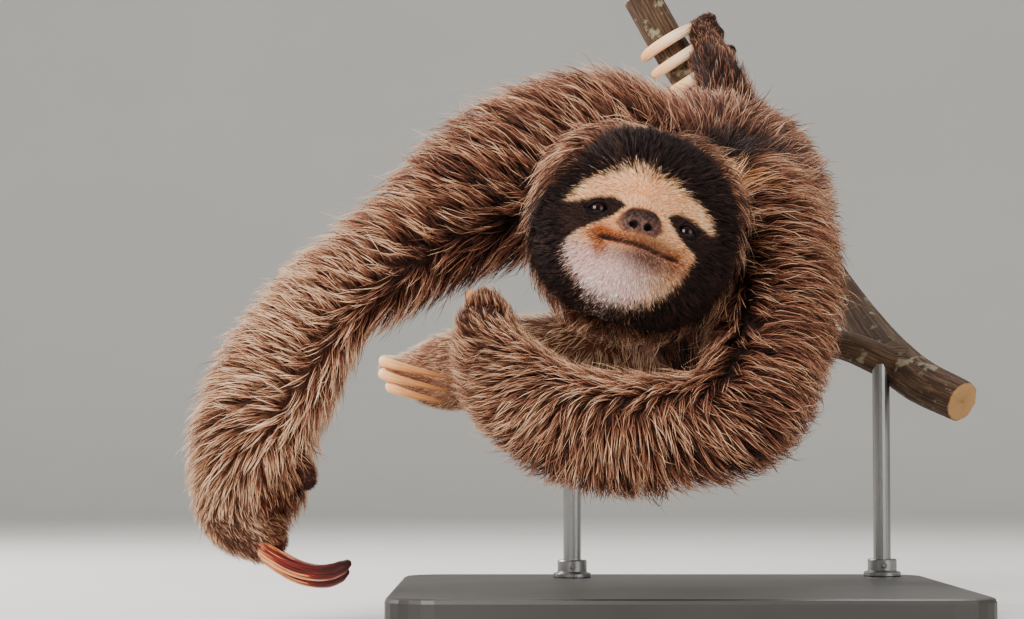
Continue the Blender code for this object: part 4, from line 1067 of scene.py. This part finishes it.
def grow(name, chosen, outer, under, guides, segments, seed):
    """Grow one piece of coat over the chosen skin: long outer hairs in tufts, and short straight underfur."""
    dice = np.random.default_rng(seed)
    g_root, g_face, g_normal = scatter(chosen, guides, seed + 1)
    g_lift = 0.55 + 0.25 * dice.random(guides)
    paths = guide_paths(g_root, g_normal, g_face, g_lift, seed + 2)
    g_shade = dice.random(guides)
    tree = KDTree(guides)
    for i in range(guides):
        tree.insert(Vector(g_root[i]), i)
    tree.balance()
    layers = []
    start_at = 0
    for count, parts, below in ((outer, segments, 0.0), (under, 1, 1.0)):
        root, face, normal = scatter(chosen, count, seed + 3 + int(below))
        limb, row, numbers = tri_limb[face], tri_row[face], tri_numbers[face]
        long, _, half, gather = sizes(root, limb, numbers)
        owner = np.array([tree.find(Vector(p))[1] for p in root])
        on_body = limb != -1
        # Underfur is about half as long as the outer hair on the body, and nearly as long on the face.
        shorter = 1.0 - below * np.clip(0.02 * long, 0.08, 0.46)
        length = np.clip(dice.normal(0.92, 0.16, count), 0.5, 1.25) * shorter
        fine = dice.random(count) < FINE_SHARE
        stray = (dice.random(count) < STRAY_SHARE) & (below == 0.0)
        half = np.where(fine, half * 0.6, half) * dice.uniform(0.8, 1.15, count) * (1 - 0.1 * below)
        gather = np.clip(gather * dice.uniform(0.5, 1.35, count) * (1 - 0.45 * below), 0, 0.92)
        gather[stray] = 0.0
        places = np.linspace(0, 1, parts + 1)[None, :] * np.minimum(length, 1.0)[:, None]
        start = paths[owner, :1]
        longer = 1 + np.maximum(length - 1.0, 0)[:, None, None]
        guide = start + (along_path(paths[owner], places) - start) * longer
        pull = gather[:, None] * (places ** 1.2)
        path = guide + (root[:, None, :] - start) * (1 - pull)[:, :, None]
        # Each hair has its own slow wave and a little spring off the body at the end.
        wave = dice.normal(0, 1, (count, 3))
        spring = dice.normal(0, 1, (count, 3))
        amount = (0.034 * long * np.where(stray, 3.0, 1.0) * MM)[:, None, None]
        bend = np.sin(places * math.pi * dice.uniform(0.7, 1.7, (count, 1)))[:, :, None]
        path = path + amount * (wave[:, None, :] * bend + spring[:, None, :] * (places ** 2)[:, :, None])
        lift = np.where(fine, 0.07, 0.0) * long + np.where(stray, 0.16, 0.0) * long
        path = path + normal[:, None, :] * (lift[:, None] * places ** 2 * MM)[:, :, None]
        path[:, 0] -= normal * ROOT_DEPTH
        verts, faces = spikes(path, normal, half)
        per = verts.shape[1]

        # A marking shows where the hairs' ends lie, so it is looked up there.
        marks = markings(root + (path[:, -1] - root) * 0.75, ~on_body, dice.normal(0, 0.8, count))
        marks[:, :4] *= 1 - marks[:, 4:5]
        shade = 0.5 + 0.30 * (g_shade[owner] - 0.5) + dice.normal(0, 1, count) * np.where(on_body, 0.21, 0.27)
        shade = np.clip(shade + np.where(fine, 0.16, -0.07) - 0.10 * below * on_body, 0, 1)
        # Painted shade: hair is darker where it faces down. Painted light: on the right leg, the side that
        # faces the camera is paler.
        inner = 0.5 * np.maximum(-normal[:, 1], 0) * (limb == limb_names.index("leg_right"))
        tone_and_painted_light = numbers[:, TONE] - 0.40 * np.maximum(-normal[:, 2], 0) + inner
        onward = np.concatenate([np.repeat(np.arange(parts) / parts, 3), [1.0]])
        strand = np.zeros((count, per, 4), np.float32)
        strand[:, :, 0] = onward[None] * (1 - 0.3 * below * on_body)[:, None]
        strand[:, :, 1] = shade[:, None]
        strand[:, :, 2] = np.where(on_body, tone_and_painted_light, 0.45 + 0.3 * marks[:, 0])[:, None]
        patch = np.concatenate([np.tile([(0.0, 0), (0.5, 0), (1.0, 0)], (parts, 1)), [(0.5, 0)]])
        patch[:, 1] = onward
        spots = (unwrap(root, limb, row)[:, None, :] + UNWRAP_PATCH * patch[None]).reshape(-1, 2)
        layers.append((verts.reshape(-1, 3), faces + start_at, strand.reshape(-1, 4),
                       np.repeat(marks[:, None, :4], per, 1).reshape(-1, 4), spots[faces.ravel()]))
        start_at += count * per
    item = hair_piece(name, *(np.vstack(part) for part in zip(*layers)))
    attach(item, "root")


# The face, its dark ring and the hood behind it. Nose, eyes and the lips' line are bare.
on_head = tri_limb == -1
marks_there = markings(tri_middle, on_head, np.zeros(len(tri_middle)))
local = to_head(tri_middle)
lips_line = (np.abs(local[:, 1] - mouth_y(local[:, 0])) < 1.2) & (np.abs(local[:, 0]) < 23)
bare = (marks_there[:, 4] > 0.75) | lips_line | (from_eye(local) < 6.0)
bare &= on_head & (local[:, 2] > 20)
hood = on_head & (ease(beyond_ring(local), -2.0, 4.0) >= 0.5)
face = on_head & (marks_there[:, 0] > 0.5) & ~bare
ring = on_head & ~face & ~bare & ~hood


def on(*names):
    return np.isin(tri_limb, [limb_names.index(n) for n in names])


# The rows along a limb where one piece of coat gives way to the next.
SHOULDER_ROW, RIGHT_ELBOW_ROW, LEFT_ELBOW_ROW = 17, 34, 22
trunk, arm_right, arm_left = on("trunk"), on("arm_right"), on("arm_left")
shoulders = (trunk & (tri_row < SHOULDER_ROW)) | on("chest_fold")
back = (trunk & (tri_row >= SHOULDER_ROW)) | on("tail")
fingers = [n for n in limb_names if n.startswith("finger_")]
SOLES = ("sole_right", "sole_left", "heel_pad")
grow("coat_face", face, 8000, 26500, 3400, 2, 101)
grow("coat_ring", ring, 5000, 15000, 1900, 2, 111)
grow("coat_hood", hood | on("neck"), 5000, 9000, 1000, 3, 121)
grow("coat_shoulders", shoulders, 5200, 10000, 1100, 3, 131)
grow("coat_back", back, 5000, 9000, 900, 3, 141)
grow("coat_upper_arm_right", arm_right & (tri_row < RIGHT_ELBOW_ROW), 6000, 12000, 1300, 3, 151)
grow("coat_forearm_right", arm_right & (tri_row >= RIGHT_ELBOW_ROW), 8000, 16000, 2000, 3, 161)
grow("coat_upper_arm_left", arm_left & (tri_row < LEFT_ELBOW_ROW), 4500, 8000, 900, 3, 171)
grow("coat_forearm_left", arm_left & (tri_row >= LEFT_ELBOW_ROW), 8000, 16000, 2100, 3, 181)
grow("coat_fingers", on(*fingers, *SOLES), 2700, 7000, 1400, 2, 211)
grow("coat_leg_right", on("leg_right"), 4000, 8000, 1000, 3, 191)
grow("coat_leg_left", on("leg_left"), 2800, 6000, 800, 3, 201)

# ---- Branch --------------------------------------------------------------------------------------
# A forked limb of a tree, cut square at its ends. Smooth brown bark with fine ridges along it, knots, and
# patches of grey lichen. Its two limbs are fused, so the fork has a natural collar.

# The side branch: x, y, z (mm) and its girth against SIDE_RADIUS.
SIDE_LINE = [(167.3, 141.8, 160.0, 1.35), (107.3, 145.0, 179.0, 1.12), (23.2, 143.0, 151.0, 1.0),
             (-45.8, 126.0, 136.0, 1.0), (-99.7, 98.0, 131.0, 0.97), (-130.0, 88.0, 126.0, 0.95)]
SIDE_RADIUS = 9.0
side_rows = fill_in(SIDE_LINE)
branch = new_piece("bark_branch", *joined([
    tube(stem_rows[:, :3] * MM, stem_rows[:, 3] * STEM_RADIUS * MM, 40, caps=()),
    tube(side_rows[:, :3] * MM, side_rows[:, 3] * SIDE_RADIUS * MM, 36, caps=())]))
fuse(branch, 0.0016, 3)
points = np.array([v.co for v in branch.data.vertices])
normals = np.array([v.normal for v in branch.data.vertices])
rows = np.vstack([stem_rows, side_rows]) * MM
axes = np.vstack([unit(np.gradient(stem_rows[:, :3], axis=0)), unit(np.gradient(side_rows[:, :3], axis=0))])
near = np.linalg.norm(points[:, None] - rows[None, :, :3], axis=2).argmin(1)
offset = points - rows[near, :3]
along = (offset * axes[near]).sum(1) + near * 0.009
offset = offset - axes[near] * (offset * axes[near]).sum(1)[:, None]
aside = unit(np.cross(axes[near], (0.1, 1.0, 0.2)))
around = np.arctan2((offset * np.cross(axes[near], aside)).sum(1), (offset * aside).sum(1))
grain = np.stack([along * 12.0, 3.2 * np.cos(around), 3.2 * np.sin(around)], 1)
ridge = np.array([turbulence(Vector(g), 3, False) for g in grain])
knot = np.zeros(len(points))
# Each knot's place, its width and how proud it stands (mm).
KNOTS = (((70, 250, 300), 11, 2.2), ((128, 208, 226), 9, 1.6),
         ((-30, 122, 146), 7, 1.4), ((40, 136, 158), 6, 1.2))
for place, size, tall in KNOTS:
    far = np.linalg.norm(points * TO_MM - np.array(place), axis=1)
    knot += tall * np.exp(-(far / size) ** 2)
points = points + normals * ((0.55 * (ridge - 0.45) + knot - 0.35) * MM)[:, None]
branch.data.vertices.foreach_set("co", points.ravel())
write(branch.data, "bark_way", "FLOAT_VECTOR", grain)
# The saw's cuts at the three ends show pale wood, with rings round the pith.
cut = np.zeros((len(points), 3))
for tip, inner in (stem_rows[:2], stem_rows[:-3:-1], side_rows[:-3:-1]):
    outward = unit(tip[:3] - inner[:3])
    beyond = (points * TO_MM - tip[:3]) @ outward
    facing = normals @ outward
    here = ease(beyond, -2.5, -1.2) * ease(facing, 0.55, 0.8)
    spread = np.linalg.norm(points * TO_MM - tip[:3], axis=1)
    cut[:, 0] = np.maximum(cut[:, 0], here)
    cut[:, 1] = np.where(here > 0, spread, cut[:, 1])
write(branch.data, "sawn", "FLOAT_VECTOR", cut)
branch.data.update()
bark, tree = new_material("tree_bark")
way = node(tree, "Attribute", attribute_name="bark_way").outputs["Vector"]
where = place_on(tree)
# Bark ridges run along the limb. Lichen lies in spots 4 to 9 mm across.
ridges = noise(tree, way, 2.6, 6.0, 0.65)
grains = noise(tree, where, 420.0, 3.0)
spots = noise(tree, where, 75.0, 4.0, 0.6)
base = ramp(tree, ridges, (0.30, "#1f130b"), (0.45, "#3c2617"), (0.58, "#57402a"), (0.72, "#7a6146"))
lichen = ramp(tree, spots, (0.58, "#000000"), (0.66, "#ffffff"))
mixed = blend(tree, lichen, base, colour("#857b62"))
# Growth rings in the sawn ends, 1.3 mm apart.
sawn = node(tree, "Attribute", attribute_name="sawn").outputs["Vector"]
at_cut, from_pith, _ = node(tree, "SeparateXYZ", {0: sawn}).outputs
ring = maths(tree, "MULTIPLY", maths(tree, "MULTIPLY_ADD", grains, 2.0, from_pith), 4.8)
ring = node(tree, "MapRange", {0: maths(tree, "SINE", ring), 1: -1.0, 2: 1.0}).outputs[0]
mixed = blend(tree, at_cut, mixed, ramp(tree, ring, (0.0, "#8a6238"), (1.0, "#b98f5e")))
relief = bump(tree, maths(tree, "MULTIPLY_ADD", grains, 0.4, ridges), 0.8, 0.0015)
finish_material(tree, mixed, 0.78, Normal=relief, Specular_IOR_Level=0.3)
branch.data.materials.append(bark)
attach(branch, "root")
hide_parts("perch_branch")

# ---- Stand ---------------------------------------------------------------------------------------
# A painted slab with eased edges and two steel rods that carry the branch. The rods stand in turned steel
# collars, each held by a small screw. The solids' own shapes are right, so they keep them and get finishes.

paint, tree = new_material("satin_paint_on_board")
# Rolled satin paint: an even stipple of 1.2 mm, with faint rubbed patches.
stipple = noise(tree, place_on(tree), 850.0)
rubbed = noise(tree, place_on(tree), 9.0, 5.0)
gloss = node(tree, "MapRange", {0: rubbed, 3: 0.36, 4: 0.52}).outputs[0]
tint = ramp(tree, rubbed, (0.3, "#25221f"), (0.7, "#302c28"))
finish_material(tree, tint, gloss, Normal=bump(tree, stipple, 0.12, 0.0004), IOR=1.5)
steel, tree = new_material("brushed_steel")
# Brushed steel: fine lines round the rod, 0.4 mm apart, coarser than life so that they show.
drawn = node(tree, "Mapping", {"Vector": place_on(tree), "Scale": (30.0, 30.0, 2400.0)}).outputs[0]
lines = noise(tree, drawn, 1.0, 3.0)
gloss = node(tree, "MapRange", {0: lines, 3: 0.22, 4: 0.42}).outputs[0]
finish_material(tree, colour("#8d8c8a"), gloss, Metallic=1.0, Normal=bump(tree, lines, 0.15, 0.0002))
for name, finish in (("stand_base", paint), ("stand_rod_left", steel), ("stand_rod_right", steel)):
    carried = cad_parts[name].data
    carried.materials.clear()
    carried.materials.append(finish)

# Each collar is turned, with a foot, eased edges and a small screw in its side.
# The profile is out from the rod's surface and up from the slab, in millimetres.
COLLAR = [(-0.4, 0.0), (6.2, 0.0), (6.8, 0.6), (6.8, 2.6), (6.0, 3.4), (4.6, 3.6), (4.0, 4.2), (4.0, 11.2),
          (3.4, 12.0), (-0.4, 12.0)]
COLLAR_SIDES = 48
slab_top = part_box("stand_base")[1][2]
turns = np.linspace(0, 2 * math.pi, COLLAR_SIDES, endpoint=False)
for name in ("stand_rod_left", "stand_rod_right"):
    low, high = (np.array(corner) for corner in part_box(name))
    middle, rod = 0.5 * (low + high), 0.5 * (high[0] - low[0])
    profile = [(rod + out * MM, slab_top + tall * MM) for out, tall in COLLAR]
    verts = [(middle[0] + r * math.cos(t), middle[1] + r * math.sin(t), z) for r, z in profile for t in turns]
    turning = (np.array(verts), quads(len(COLLAR), COLLAR_SIDES, closed=True))
    start = np.array([middle[0], middle[1] - rod - 0.0030, slab_top + 0.0078])
    shank = [start, start + (0, -0.0022, 0), start + (0, -0.0026, 0)]
    screw = tube(shank, (0.0019, 0.0019, 0.0014), 20, caps=())
    collar = new_piece("collar_" + name, *joined([turning, screw]), smooth=False)
    collar.data.materials.append(steel)
    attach(collar, "root")

# ---- Floor, light and camera ---------------------------------------------------------------------
# A wide pale paper floor that rises far behind the model, two large soft lamps in front and two behind, which
# catch the tips of the coat.

rise = [(3.0 + 1.6 * math.sin(t), 1.6 - 1.6 * math.cos(t)) for t in np.linspace(0, math.pi / 2, 24)]
profile = np.array([(-16.0, 0.0)] + rise + [(4.6, 9.0)])
left = np.stack([np.full(len(profile), -9.0), profile[:, 0], profile[:, 1] - 0.0004], 1)
right = left * (-1, 1, 1)
k = len(profile)
strips = [[i, k + i, k + i + 1, i + 1] for i in range(k - 1)]
floor = new_piece("paper_floor", np.concatenate([left, right]), strips)
paper, tree = new_material("matt_paper")
tint = ramp(tree, noise(tree, place_on(tree), 3.0), (0.3, "#dcdad6"), (0.7, "#e0deda"))
finish_material(tree, tint, 1.0, Specular_IOR_Level=0.1)
floor.data.materials.append(paper)

# Each lamp's place (m), its size (m) and its power (W).
LAMPS = {"key": ((-0.9, -1.8, 1.2), 1.0, 72.0), "fill": ((1.5, -1.6, 0.8), 1.2, 22.0),
         "back_left": ((-1.3, 0.7, 1.0), 0.7, 30.0), "back_top": ((0.3, 1.0, 1.6), 0.8, 14.0)}
AIM = Vector((-0.05, -0.05, 0.22))
for name, (place, size, power) in LAMPS.items():
    data = bpy.data.lights.new(name, "AREA")
    data.size = size
    data.energy = power
    lamp = placed_in_scene(name, data)
    lamp.location = place
    lamp.rotation_euler = (AIM - Vector(place)).to_track_quat("-Z", "Y").to_euler()
    lamp.visible_camera = False
world = bpy.data.worlds.new("studio")
world.use_nodes = True
world.node_tree.nodes["Background"].inputs[0].default_value = colour("#f4f2ee")
world.node_tree.nodes["Background"].inputs[1].default_value = 0.55
bpy.context.scene.world = world

data = bpy.data.cameras.new("camera")
data.lens = 98.4375
data.sensor_width = 36.0
camera = placed_in_scene("camera", data)
camera.location = (-0.105, -1.7975, 0.1005)
camera.rotation_euler = (math.radians(93.0), 0.0, 0.0)
bpy.context.scene.camera = camera
